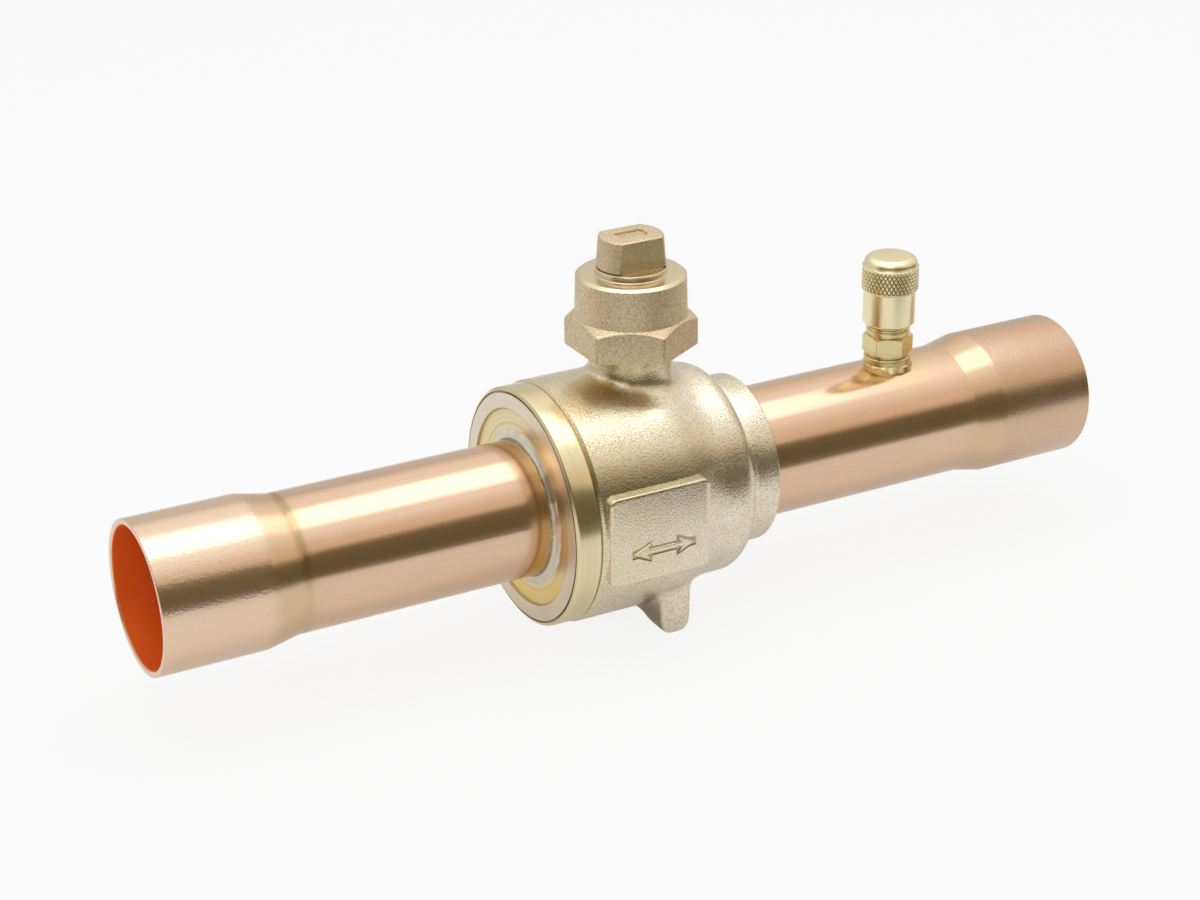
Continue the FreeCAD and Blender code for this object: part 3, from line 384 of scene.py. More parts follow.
def make_piece(name, mesh, materials, body, replaced=(), sharp=35):
    """The finished object of a mesh, riding on a body and standing for CAD nodes."""
    item = new_object(name, mesh)
    for material in materials:
        item.data.materials.append(material)
    item.data.shade_smooth()
    item.data.set_sharp_from_angle(angle=math.radians(sharp))
    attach(item, body)
    if replaced:
        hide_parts(*replaced)
    return item


def forged_body_mesh():
    """The stamping on an even grid, softened, then machined with plain cutters."""
    barrel = turn(ABOUT_PIPE, [
        (SEAM - 3, 0), (SEAM - 3, BARREL), (0.5, BARREL, 12), (9, OUTLET_BARREL, 12),
        (SHOULDER, OUTLET_BARREL, 3.8), (SHOULDER, 0)])
    neck = turn(ABOUT_STEM, [(9.5, 0), (9.5, NECK), (NECK_SHOULDER + 2, NECK),
                             (NECK_SHOULDER + 2, 0)])
    pad = raise_outline("Y", rectangle(PAD_LEFT, PAD_RIGHT, PAD_LOW, PAD_HIGH, 1.7),
                        PAD_FRONT, -19)
    soften(pad, edges_at(pad, "Y", PAD_FRONT), 0.55)
    foot = raise_outline("Y", [
        (FOOT_LEFT, -9), (FOOT_LEFT, FOOT_LEVEL, 3.2), (FOOT_RIGHT, FOOT_LEVEL, 3.4),
        (FOOT_RIGHT, -9)], -FOOT_HALF, FOOT_HALF)
    arch = raise_outline("X", [
        (-ARCH_HALF, FOOT_LEVEL - 1.8), (ARCH_HALF, FOOT_LEVEL - 1.8), (ARCH_HALF, FOOT_LEVEL),
        (ARCH_HALF - 6, ARCH_TOP, 6), (6 - ARCH_HALF, ARCH_TOP, 6), (-ARCH_HALF, FOOT_LEVEL)],
        -7, 7)
    forging = combine("UNION", barrel, neck, combine("DIFFERENCE", foot, arch))
    forging = even_grid(forging, GRID)

    def in_neck_root(spot):
        return 19 < spot.z < 28.6 and math.hypot(spot.x, spot.y) < 13.5

    def in_foot_root(spot):
        return spot.z < -10 and abs(spot.x) < 8.5 and spot.xz.length < 26.4

    smooth_out(forging, 150, in_neck_root)
    smooth_out(forging, 24, in_foot_root)
    smooth_out(forging, 4, lambda spot: spot.z < -24.5)
    smooth_out(forging, 4)
    forging = combine("UNION", forging, pad)

    inlet_face = turn(ABOUT_PIPE, [
        (SEAM - 5, 0), (SEAM, 0), (SEAM, BARREL - 0.5), (SEAM + 1, BARREL + 0.5),
        (SEAM + 1, BARREL + 6), (SEAM - 5, BARREL + 6), (SEAM - 5, 0)])
    waterway = turn(ABOUT_PIPE, [
        (SEAM - 6, 0), (SEAM - 6, SPIGOT_BORE), (-CHAMBER_END, SPIGOT_BORE),
        (-CHAMBER_END, CHAMBER), (CHAMBER_END, CHAMBER), (CHAMBER_END, SEAT_POCKET),
        (POCKET_END, SEAT_POCKET), (POCKET_END, WATERWAY), (TUBE_SEAT, WATERWAY),
        (TUBE_SEAT, TUBE_JOINT), (COLLAR_END + 1, TUBE_JOINT), (COLLAR_END + 1, 0)])
    stem_bore = turn(ABOUT_STEM, [
        (0, 0), (0, STEM_COLLAR), (COLLAR_STOP, STEM_COLLAR), (COLLAR_STOP, STEM_BORE),
        (NECK_TOP + 1, STEM_BORE), (NECK_TOP + 1, 0)])
    collar = turn(ABOUT_PIPE, [
        (SHOULDER - 2, 0), (SHOULDER - 2, 17.4), (SHOULDER + 0.5, 17.4, 0.9),
        (SHOULDER + 2.2, COLLAR, 1.2), (COLLAR_END, COLLAR, 0.4), (COLLAR_END, 0)], 192)
    neck_end = turn(ABOUT_STEM, [(NECK_SHOULDER, 0), (NECK_SHOULDER, 20), (50, 20), (50, 0)])
    screwed_neck = turn(ABOUT_STEM, [
        (NECK_SHOULDER - 3, 0), (NECK_SHOULDER - 3, 7.2), (NECK_SHOULDER + 0.6, 7.2),
        (NECK_SHOULDER + 1.2, NECK_THREAD), (NECK_TOP - 0.6, NECK_THREAD),
        (NECK_TOP, NECK_THREAD - 0.6), (NECK_TOP, 0)])
    groove = thread_groove(NECK_THREAD, 0.75, 1.5, NECK_SHOULDER + 0.6, NECK_TOP + 1.4)
    screwed_neck = combine("DIFFERENCE", screwed_neck, groove)
    # Two quarter pockets, in which the stop pin swings between its two ends
    pockets = []
    for side in (1, -1):
        pockets.append(raise_outline("Z", [
            (-side * 1.15, side * 1.15), (-side * 1.15, -side * 6.4),
            (side * 6.4, -side * 6.4, 6.3), (side * 6.4, side * 1.15)], 36.9, NECK_TOP + 1))
    forging = combine("DIFFERENCE", forging, neck_end)
    forging = combine("UNION", forging, collar, screwed_neck)
    return combine("DIFFERENCE", forging, inlet_face, waterway, stem_bore, *pockets)


ARROW_LEFT, ARROW_RIGHT, ARROW_LEVEL = -14.2, 0.2, -2.8
HEAD_LENGTH, HEAD_HALF, SHAFT_HALF, ARROW_RISE = 4.3, 1.95, 0.55, 0.28


def shade_round_arrow(finish):
    """1 on the pad just round the flow arrow, where painted shade darkens its foot."""
    inwards = (finish.x - ARROW_LEFT).smaller(ARROW_RIGHT - finish.x)
    head = inwards * inwards.step(HEAD_LENGTH + 0.2, HEAD_LENGTH) * (HEAD_HALF / HEAD_LENGTH)
    outside = abs(finish.z - ARROW_LEVEL) - head.larger(SHAFT_HALF)
    return (outside.step(0.55, 0.15) * inwards.step(-0.5, 0.1)
            * finish.y.step(PAD_FRONT + 0.4, PAD_FRONT + 0.2))


def forged_brass(name, bare=False):
    """Blasted stamping: a sandy grain, warmer to the inlet, a heat tint at the neck, and painted
    shade and reflection in places.
    """
    finish = Finish(name, Metallic=1.0)
    grain = finish.mottle(0.40, 2.0)
    sand = finish.mottle(0.22, 2.0)
    lumps = finish.mottle(3.2, 3.0)
    clouds = finish.mottle(11.0, 2.0)
    colour = finish.mix(lumps.step(0.3, 0.75), (0.87, 0.795, 0.62), (0.93, 0.865, 0.71))
    warm = finish.x.step(8.0, -20.0) * 0.6 + clouds.step(0.45, 0.8) * 0.25
    colour = finish.mix(warm, colour, (0.87, 0.75, 0.51))
    # The neck took a golden tone from the brazing heat. Its root gets a mottled brown patch at the
    # front, and its top a painted shade just under the hexagon
    neck = finish.about_stem().step(10.2, 9.0) * finish.z.step(25.8, 27.8)
    colour = finish.mix(neck * 0.7, colour, (0.68, 0.55, 0.29))
    tint = finish.near((-4.5, -7.5, 25.5), 7.0, 2.0) * finish.mottle(2.4, 3.0).step(0.25, 0.6)
    # Painted shade: the neck darker just under the hexagon
    tint = tint.larger(finish.z.step(29.6, 30.9))
    colour = finish.mix(tint * 0.55, colour, (0.50, 0.36, 0.14))
    # Painted shade darkens the corner between the foot and the barrel, and a painted reflection
    # darkens the barrel above the pad
    aside, below = finish.x + 5.0, (finish.z + 25.5) * 0.55
    crook_shade = ((aside * aside + below * below) ** 0.5).step(5.2, 1.6)
    crook_shade = crook_shade * abs(finish.y).step(FOOT_HALF - 0.1, FOOT_HALF - 0.9)
    colour = finish.mix(crook_shade * 0.85, colour, (0.22, 0.16, 0.07))
    # Painted reflection of the dark surroundings, as a darker band across the barrel above the pad
    painted_reflection_band = finish.y.step(-17.0, -21.0) * finish.z.step(17.5, 12.5) * finish.z.step(9.0, 10.6)
    colour = finish.mix(painted_reflection_band * 0.62, colour, (0.44, 0.37, 0.24))
    colour = finish.mix(grain.step(0.54, 0.38) * 0.4, colour, (0.42, 0.35, 0.21))
    # The neck's thread and the collar's end face are turned after the blasting
    turned = finish.x.step(25.5, 25.65).larger(finish.z.step(31.0, 31.1))
    marks = finish.tool_marks(finish.x, finish.about_pipe(), 0.12)
    rough = 0.23 + turned * -0.03 + sand * 0.06
    height = (grain + sand * 0.3 + lumps * 0.4) * (1 - turned) + marks * turned * 0.15
    if not bare:
        # Painted shade round the arrow's foot, also sunk a little in the bump
        arrow_shade = shade_round_arrow(finish)
        colour = finish.mix(arrow_shade * 0.75, colour, (0.36, 0.26, 0.12))
        height = height - arrow_shade * 1.8
    return finish.done(colour, rough, height, 0.065)


make_piece("forged_body", forged_body_mesh(), [forged_brass("forged_brass")], "valve",
           ["valve_body"])


# Flow arrow: two-way, raised by the stamping die on the label pad, and as blasted as
# the pad round it.
arrow_outline = [
    (ARROW_LEFT, ARROW_LEVEL),
    (ARROW_LEFT + HEAD_LENGTH, ARROW_LEVEL - HEAD_HALF),
    (ARROW_LEFT + HEAD_LENGTH - 0.9, ARROW_LEVEL - SHAFT_HALF),
    (ARROW_RIGHT - HEAD_LENGTH + 0.9, ARROW_LEVEL - SHAFT_HALF),
    (ARROW_RIGHT - HEAD_LENGTH, ARROW_LEVEL - HEAD_HALF),
    (ARROW_RIGHT, ARROW_LEVEL),
    (ARROW_RIGHT - HEAD_LENGTH, ARROW_LEVEL + HEAD_HALF),
    (ARROW_RIGHT - HEAD_LENGTH + 0.9, ARROW_LEVEL + SHAFT_HALF),
    (ARROW_LEFT + HEAD_LENGTH - 0.9, ARROW_LEVEL + SHAFT_HALF),
    (ARROW_LEFT + HEAD_LENGTH, ARROW_LEVEL + HEAD_HALF),
]
arrow = raise_outline("Y", arrow_outline, PAD_FRONT - ARROW_RISE, PAD_FRONT + 0.4)
soften(arrow, edges_at(arrow, "Y", PAD_FRONT - ARROW_RISE), 0.25)
make_piece("flow_arrow", arrow, [forged_brass("arrow_brass", bare=True)], "valve")


# End connector: turned from brass bar, screwed into the body's inlet side against an
# O-ring. Its flange is what shows: a bright band, and a face recessed round the tube.
FACE = SEAM - 5.8
FLANGE = 25.2
SPIGOT = 21.5


def connector_mesh():
    gland = (SEAM + 1.2, SEAM + 3.8)
    return turn(ABOUT_PIPE, [
        (FACE, 20.9, 0.12), (FACE, FLANGE - 1.15, 0.1), (FACE + 0.4, FLANGE - 1.05),
        (FACE + 0.4, FLANGE - 0.85), (FACE + 0.05, FLANGE - 0.7, 0.1), (FACE + 0.55, FLANGE, 0.3),
        (SEAM - 0.5, FLANGE, 0.15), (SEAM, FLANGE - 0.5), (SEAM, SPIGOT),
        (gland[0], SPIGOT), (gland[0], SPIGOT - 1.6), (gland[1], SPIGOT - 1.6),
        (gland[1], SPIGOT), (-CHAMBER_END, SPIGOT), (-CHAMBER_END, SEAT_POCKET),
        (-POCKET_END, SEAT_POCKET), (-POCKET_END, WATERWAY), (-TUBE_SEAT, WATERWAY),
        (-TUBE_SEAT, TUBE_JOINT), (FACE + 0.9, TUBE_JOINT), (FACE + 0.5, 20.65, 0.1)],
        steps=224, tube=True)


def turned_brass():
    """Lathe-turned: fine rings; the recess is gold from the brazing heat, the rim is not; painted
    shade lies in the face's groove and by the recess's lip.
    """
    finish = Finish("turned_brass", Metallic=1.0)
    radius = finish.about_pipe()
    marks = finish.tool_marks(finish.x, radius, 0.16)
    broad = finish.tool_marks(finish.x, radius, 1.1)
    stain = finish.mottle(4.0, 3.0)
    colour = finish.mix(broad.step(0.3, 0.7), (0.80, 0.68, 0.41), (0.86, 0.75, 0.49))
    on_face = finish.x.step(FACE + 0.25, FACE + 0.02) * radius.step(FLANGE - 0.9, FLANGE - 1.1)
    greyed = finish.mix(stain, (0.80, 0.70, 0.56), (0.92, 0.83, 0.68))
    colour = finish.mix(on_face * 0.9, colour, greyed)
    # Painted shade in the groove between the face and the band
    groove = radius.step(FLANGE - 1.2, FLANGE - 1.1) * radius.step(FLANGE - 0.72, FLANGE - 0.8)
    colour = finish.mix(groove * finish.x.step(FACE + 0.6, FACE + 0.5) * 0.8, colour,
                        (0.25, 0.18, 0.08))
    recess = finish.x.step(FACE + 2, FACE + 1.5) * radius.step(20.95, 20.8)
    bands = finish.tool_marks(0.0, radius, 0.9).step(0.3, 0.7)
    gold = finish.mix(bands, (0.76, 0.60, 0.33), (0.92, 0.80, 0.52))
    heated = (finish.z * -1 + finish.y * 0.25).step(-14.0, 12.0) * stain.step(0.2, 0.6)
    gold = finish.mix(heated * radius.step(16.5, 18.0) * 0.85, gold, (0.94, 0.66, 0.17))
    # Painted shade darkens the recess beside its lip
    gold = finish.mix(radius.step(20.2, 20.7) * 0.7, gold, (0.50, 0.33, 0.13))
    colour = finish.mix(recess, colour, gold)
    rough = 0.17 + marks * 0.1 + recess * 0.14 + on_face * 0.16
    return finish.done(colour, rough, marks + broad * 0.4, 0.010)


connector_brass = turned_brass()
make_piece("flange_connector", connector_mesh(), [connector_brass], "valve",
           ["end_connector"])


# Ball, seats, stem and seals: the working parts. The ball is chromed brass, the seats and
# the thrust washer are PTFE, and they go in before the connector is screwed home.
def dress(material, *nodes):
    """Gives a finish to CAD pieces whose shape is right as it is."""
    for node in nodes:
        for material_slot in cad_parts[node].material_slots:
            material_slot.material = material


def chrome():
    finish = Finish("ball_chrome", Metallic=1.0)
    haze = finish.mottle(5.0, 3.0)
    lines = finish.tool_marks(finish.y, finish.about_stem(), 0.2)
    colour = finish.mix(haze, (0.62, 0.63, 0.64), (0.72, 0.72, 0.71))
    return finish.done(colour, 0.10 + haze * 0.12, lines, 0.004)


def plain_polymer(name, dark, light, roughness, grain_size):
    finish = Finish(name)
    grain = finish.mottle(grain_size, 3.0)
    patches = finish.mottle(grain_size * 9, 2.0)
    colour = finish.mix(patches, dark, light)
    return finish.done(colour, roughness + grain * 0.15, grain, 0.02)


def drawn_bar(name, dark, light, roughness):
    finish = Finish(name, Metallic=1.0)
    marks = finish.mottle(0.25, 3.0, stretch=(1.0, 1.0, 6.0))
    patches = finish.mottle(2.5, 2.0)
    colour = finish.mix(patches, dark, light)
    return finish.done(colour, roughness + marks * 0.15, marks, 0.012)


rubber = plain_polymer("seal_rubber", (0.018, 0.018, 0.020), (0.035, 0.035, 0.037), 0.50, 0.5)
ptfe = plain_polymer("ptfe", (0.70, 0.70, 0.68), (0.80, 0.80, 0.78), 0.42, 0.6)
dress(chrome(), "ball")
dress(ptfe, "inlet_seat", "outlet_seat", "thrust_washer")
dress(rubber, "connector_o_ring", "stem_o_ring_lower", "stem_o_ring_upper", "cap_gasket",
      "core_seal_ring", "poppet_seal", "access_cap_seal")
pin_finish = drawn_bar("pin_steel", (0.42, 0.42, 0.43), (0.56, 0.56, 0.56), 0.26)
dress(pin_finish, "stop_pin", "core_pin")
dress(drawn_bar("stem_brass", (0.62, 0.50, 0.26), (0.74, 0.61, 0.35), 0.24), "stem",
      "core_body")


# Copper stubs: drawn tube, swaged out at the far end to a socket for the pipe, and brazed
# into body and connector. The outlet stub is drilled for the access port.
TUBE = 14.3
TUBE_BORE = 12.95
SOCKET = 15.7
SOCKET_BORE = 14.35
MOUTH = 108.9
SOCKET_STOP = 86.4
CONE_END = 78.8
PORT_X = 64.2


def stub_mesh(side):
    corners = [
        (TUBE_SEAT, TUBE_BORE), (TUBE_SEAT, TUBE), (CONE_END + 0.4, TUBE, 3.2),
        (SOCKET_STOP - 0.4, SOCKET, 2.6), (MOUTH, SOCKET, 0.2), (MOUTH, SOCKET_BORE + 0.35, 0.15),
        (MOUTH - 0.4, SOCKET_BORE), (SOCKET_STOP, SOCKET_BORE, 0.6),
        (SOCKET_STOP - 0.68, TUBE_BORE, 0.6)]
    return turn(ABOUT_PIPE, [(side * corner[0], *corner[1:]) for corner in corners],
                steps=192, tube=True)


def copper():
    """Satin drawn tube: faint lengthwise streaks, dull sockets, deep orange inside, and painted
    shade and reflection on the outlet socket and swage.
    """
    finish = Finish("drawn_copper")
    radius = finish.about_pipe()
    streaks = finish.mottle(0.5, 3.0, stretch=(0.03, 1.0, 1.0))
    clouds = finish.mottle(9.0, 3.0, stretch=(0.35, 1.0, 1.0))
    specks = finish.mottle(0.55, 2.0)
    length = abs(finish.x)
    colour = finish.mix(clouds, (0.80, 0.545, 0.375), (0.84, 0.61, 0.44))
    colour = finish.mix(streaks.step(0.35, 0.7) * 0.25, colour, (0.74, 0.48, 0.31))
    # The sockets are dull, paler at the inlet and browner at the outlet, that browner tone a
    # painted shade;
    # along the swage a darker band is a painted reflection
    socket = length.step(84.0, 87.5)
    socket_tone_and_shade = finish.mix(finish.x.step(0, 1), (0.89, 0.665, 0.49), (0.70, 0.49, 0.345))
    colour = finish.mix(socket * 0.8, colour, socket_tone_and_shade)
    # Painted reflection: the swage darker, where its slope mirrors darker surroundings
    swage = length.step(74.0, 80.5) * length.step(89.0, 83.5) * clouds.step(0.1, 0.6)
    colour = finish.mix(swage * 0.5, colour, (0.68, 0.50, 0.28))
    # Painted shade makes a dark crease where the inlet's swage starts, and a darker band lies by
    # its braze
    past_start = length - CONE_END
    crease_shade = past_start.step(-1.4, -0.2) * past_start.step(1.9, 0.3) * finish.x.step(1, -1)
    crease_shade = crease_shade * (0.12 + finish.z.step(-2.0, 8.0) * 0.5)
    dark_by_braze = finish.x.step(-32.5, -27.5) * finish.x.step(-25.5, -26.5)
    colour = finish.mix(crease_shade.larger(dark_by_braze * 0.45), colour, (0.42, 0.30, 0.14))
    heat = finish.near((PORT_X, 0.0, TUBE), 12.0, 6.5)
    colour = finish.mix(heat * clouds.step(0.2, 0.6) * 0.7, colour, (0.80, 0.60, 0.29))
    colour = finish.mix(specks.step(0.66, 0.76) * 0.3, colour, (0.50, 0.30, 0.17))
    inside = radius.step(TUBE + 0.25, TUBE + 0.15) * length.step(SOCKET_STOP - 1, SOCKET_STOP)
    inside = inside.larger(radius.step(TUBE_BORE + 0.4, TUBE_BORE + 0.2))
    scale = specks.step(0.60, 0.72) * finish.mottle(3.0, 2.0).step(0.4, 0.65)
    deep = finish.mix(scale * 0.5, (0.90, 0.165, 0.01), (0.98, 0.40, 0.12))
    colour = finish.mix(inside, colour, deep)
    finish.link(1 - inside * 0.7, finish.shader.inputs["Metallic"])
    rough = 0.15 + streaks * 0.05 + inside * 0.35 + finish.x.step(84.0, 90.0) * 0.07
    height = streaks * (0.4 - socket * 0.35) + specks * (0.2 + socket * 1.8)
    return finish.done(colour, rough + socket * 0.03 + swage * 0.06, height, 0.016)


tube_copper = copper()
make_piece("inlet_tube", stub_mesh(-1), [tube_copper], "valve", ["inlet_stub"])
port_hole = turn(ABOUT_STEM, [(0, 0), (0, 3.2), (20, 3.2), (20, 0)], 48, (PORT_X, 0, 0))
make_piece("outlet_tube", combine("DIFFERENCE", stub_mesh(1), port_hole), [tube_copper],
           "valve", ["outlet_stub"])


# Inlet braze: silver alloy fed by hand round the stub in the connector's recess, where it
# froze as a slightly uneven fillet.
def split_long_edges(mesh, cuts):
    """Divides the longer edges, for a surface that is then made uneven."""
    long_edges = [edge for edge in mesh.edges if edge.calc_length() > 0.0006]
    bmesh.ops.subdivide_edges(mesh, edges=long_edges, cuts=cuts, use_grid_fill=True)


def braze_mesh():
    mesh = turn(ABOUT_PIPE, [
        (FACE + 0.95, TUBE), (FACE - 0.25, TUBE), (FACE - 0.05, TUBE + 0.35),
        (FACE + 0.3, TUBE + 1.0), (FACE + 0.6, TUBE + 1.8), (FACE + 0.95, TUBE + 2.6)],
        steps=224, tube=True)
    split_long_edges(mesh, 2)
    for vert in mesh.verts:
        spot = vert.co / MM
        radial = Vector((0, spot.y, spot.z)).normalized()
        height = spot.yz.length - TUBE
        if height < 0.05 and spot.x > FACE + 0.3:
            continue
        swell = noise.noise(spot * 0.32) * 0.40 + noise.noise(spot * 0.9) * 0.10
        vert.co += (radial * 0.6 * min(1, height / 0.6) + Vector((-0.5, 0, 0))) * swell * MM
    return closed(mesh)


def silver_braze():
    finish = Finish("silver_braze", Metallic=1.0)
    lumps = finish.mottle(1.6, 3.0)
    grain = finish.mottle(0.35, 3.0)
    colour = finish.mix(lumps, (0.80, 0.74, 0.60), (0.94, 0.90, 0.78))
    colour = finish.mix(finish.mottle(2.6, 2.0).step(0.5, 0.75) * 0.5, colour, (0.84, 0.70, 0.42))
    flux = finish.about_pipe().step(TUBE + 0.55, TUBE + 0.15) * grain.step(0.25, 0.5)
    colour = finish.mix(flux * 0.75, colour, (0.13, 0.10, 0.06))
    return finish.done(colour, 0.28 + grain * 0.15, lumps + grain * 0.3, 0.06)


braze_finish = silver_braze()
make_piece("inlet_braze_fillet", braze_mesh(), [braze_finish], "valve",
           ["inlet_braze"], sharp=60)


# Seal cap: forged brass with a hexagon and a drive boss with two flats, blasted; its
# shoulder and the hexagon's corners are turned bright. It screws down over the stem.
CAP_FOOT = 31.2
HEX_TOP = 38.0
CAP_SHOULDER = 46.8
CAP_WALL = 11.6
CAP_RIM = 11.4
BOSS_TOP = 54.8
BOSS_STEP = 48.1
BOSS_FLAT = 4.8


def hexagon_corners(flats, rounding):
    corners = []
    for index in range(6):
        angle = math.radians(30 + 60 * index)
        reach = flats / 2 / math.cos(math.radians(30))
        corners.append((reach * math.cos(angle), reach * math.sin(angle), rounding))
    return corners


def moved(mesh, x):
    bmesh.ops.translate(mesh, verts=mesh.verts, vec=Vector((x, 0, 0)) * MM)
    return mesh


def seal_cap_mesh():
    hexagon = raise_outline("Z", hexagon_corners(24, 1.0), CAP_FOOT, HEX_TOP)
    chamfers = turn(ABOUT_STEM, [
        (CAP_FOOT - 1, 0), (CAP_FOOT - 1, 12.9), (CAP_FOOT + 0.55, 15), (HEX_TOP - 2.1, 14.76),
        (HEX_TOP, CAP_WALL), (HEX_TOP, 0)], 192)
    hexagon = combine("INTERSECT", hexagon, chamfers)
    bmesh.ops.remove_doubles(hexagon, verts=hexagon.verts, dist=2e-5)
    worn = [edge for edge in hexagon.edges if edge.is_manifold and edge.calc_face_angle() > 0.3
            and max(vert.co.z for vert in edge.verts) / MM > HEX_TOP - 3
            and min(vert.co.xy.length for vert in edge.verts) / MM > CAP_WALL + 0.05]
    soften(hexagon, worn, 0.3, 2)
    upper = turn(ABOUT_STEM, [
        (HEX_TOP - 3, 0), (HEX_TOP - 3, CAP_WALL), (HEX_TOP, CAP_WALL),
        (CAP_SHOULDER - 0.55, CAP_RIM, 0.15), (CAP_SHOULDER, CAP_RIM - 0.7, 0.4),
        (CAP_SHOULDER, 7.45, 0.2), (BOSS_STEP - 0.5, 7.45, 0.3), (BOSS_STEP, 7.2, 0.2),
        (BOSS_STEP, 0)], 192)
    boss = turn(ABOUT_STEM, [(BOSS_STEP - 2, 0), (BOSS_STEP - 2, 7.2), (BOSS_STEP, 7.2),
                             (BOSS_TOP, 6.65), (BOSS_TOP, 0)], 96)
    bmesh.ops.dissolve_limit(boss, angle_limit=math.radians(1), verts=boss.verts,
                             edges=boss.edges)
    for side in (1, -1):
        bmesh.ops.bisect_plane(boss, geom=boss.verts[:] + boss.edges[:] + boss.faces[:],
                               plane_co=Vector((0, side * BOSS_FLAT, 0)) * MM,
                               plane_no=Vector((0, side, 0)), clear_outer=True)
        fill_ends(boss)
    bmesh.ops.recalc_face_normals(boss, faces=boss.faces)
    soften(boss, edges_at(boss, "Z", BOSS_TOP), 0.9, 5)
    corners = [edge for edge in boss.edges if edge.is_manifold and edge.calc_face_angle() > 0.4
               and abs(edge.verts[0].co.z - edge.verts[1].co.z) > 0.002]
    soften(boss, corners, 0.3, 3)
    mark = raise_outline("Z", rectangle(-3.2, 3.2, -1.8, 1.8, 0.6), BOSS_TOP - 0.3, BOSS_TOP + 1)
    well = turn(ABOUT_STEM, [
        (CAP_FOOT - 2, 0), (CAP_FOOT - 2, 8.7), (CAP_FOOT, 8.7), (CAP_FOOT + 0.6, 8.1),
        (41.3, 8.1), (41.3, 5.3), (45.0, 5.3), (45.6, 4.7), (45.6, 0)])
    # A fine groove at the boss's foot, which its flats leave out
    foot_groove = turn(ABOUT_STEM, [
        (BOSS_STEP + 0.02, 6.85), (BOSS_STEP + 0.02, 8), (BOSS_STEP + 0.28, 8),
        (BOSS_STEP + 0.28, 6.85)], 96, tube=True)
    cap = combine("UNION", hexagon, upper, boss)
    return combine("DIFFERENCE", cap, mark, well, foot_groove)


def cap_brass():
    """Pinker than the body, speckled by the blasting, with a bright turned shoulder and painted
    shade on the boss.
    """
    finish = Finish("cap_brass", Metallic=1.0)
    grain = finish.mottle(0.34, 3.0)
    patches = finish.mottle(3.0, 3.0)
    colour = finish.mix(patches, (0.76, 0.61, 0.40), (0.84, 0.69, 0.48))
    colour = finish.mix(grain.step(0.52, 0.38) * 0.5, colour, (0.42, 0.30, 0.15))
    colour = finish.mix(grain.step(0.54, 0.66) * 0.55, colour, (0.96, 0.86, 0.65))
    radius = finish.about_stem()
    # Painted shade darkens the boss above its ledge, in mottled patches, and the groove round its
    # foot
    above_step = finish.z - BOSS_STEP
    flats = above_step.step(0.1, 0.6) * finish.z.step(BOSS_TOP, BOSS_TOP - 0.6)
    colour = finish.mix(flats * patches.step(0.2, 0.7) * 0.4, colour, (0.52, 0.40, 0.21))
    # Painted shade in the groove round the boss's foot
    groove = above_step.step(0, 0.05) * above_step.step(0.5, 0.3)
    colour = finish.mix(groove * radius.step(6.65, 6.75) * 0.8, colour, (0.20, 0.13, 0.05))
    shoulder = finish.z.step(CAP_SHOULDER - 0.65, CAP_SHOULDER - 0.45)
    bright = shoulder * above_step.step(0.06, 0.02)
    marks = finish.tool_marks(finish.z, radius, 0.3)
    shining = finish.mix(marks, (0.76, 0.64, 0.42), (0.88, 0.77, 0.55))
    colour = finish.mix(bright, colour, shining)
    rough = 0.44 + bright * -0.22 + marks * 0.06
    return finish.done(colour, rough, grain * (1 - bright) + marks * bright * 0.06, 0.10)


cap_finish = cap_brass()
make_piece("seal_cap_forging", seal_cap_mesh(), [cap_finish], "seal_cap",
           ["seal_cap"])


# Access port: turned from hexagon brass bar, saddled on the outlet stub and brazed there.
# Its thread takes the knurled cap, and the valve core sits in its bore.
PORT_HEX_FOOT = 16.7
PORT_HEX_TOP = 20.9
PORT_TOP = 34.0
PORT_THREAD = 4.95
PORT_BASE = 5.1
ON_PORT = (PORT_X, 0, 0)


def tube_under_port():
    """The stub's outside round the port's foot, which is saddled on it."""
    return turn(ABOUT_PIPE, [(PORT_X - 9, 0), (PORT_X - 9, TUBE), (PORT_X + 9, TUBE),
                             (PORT_X + 9, 0)], 192)


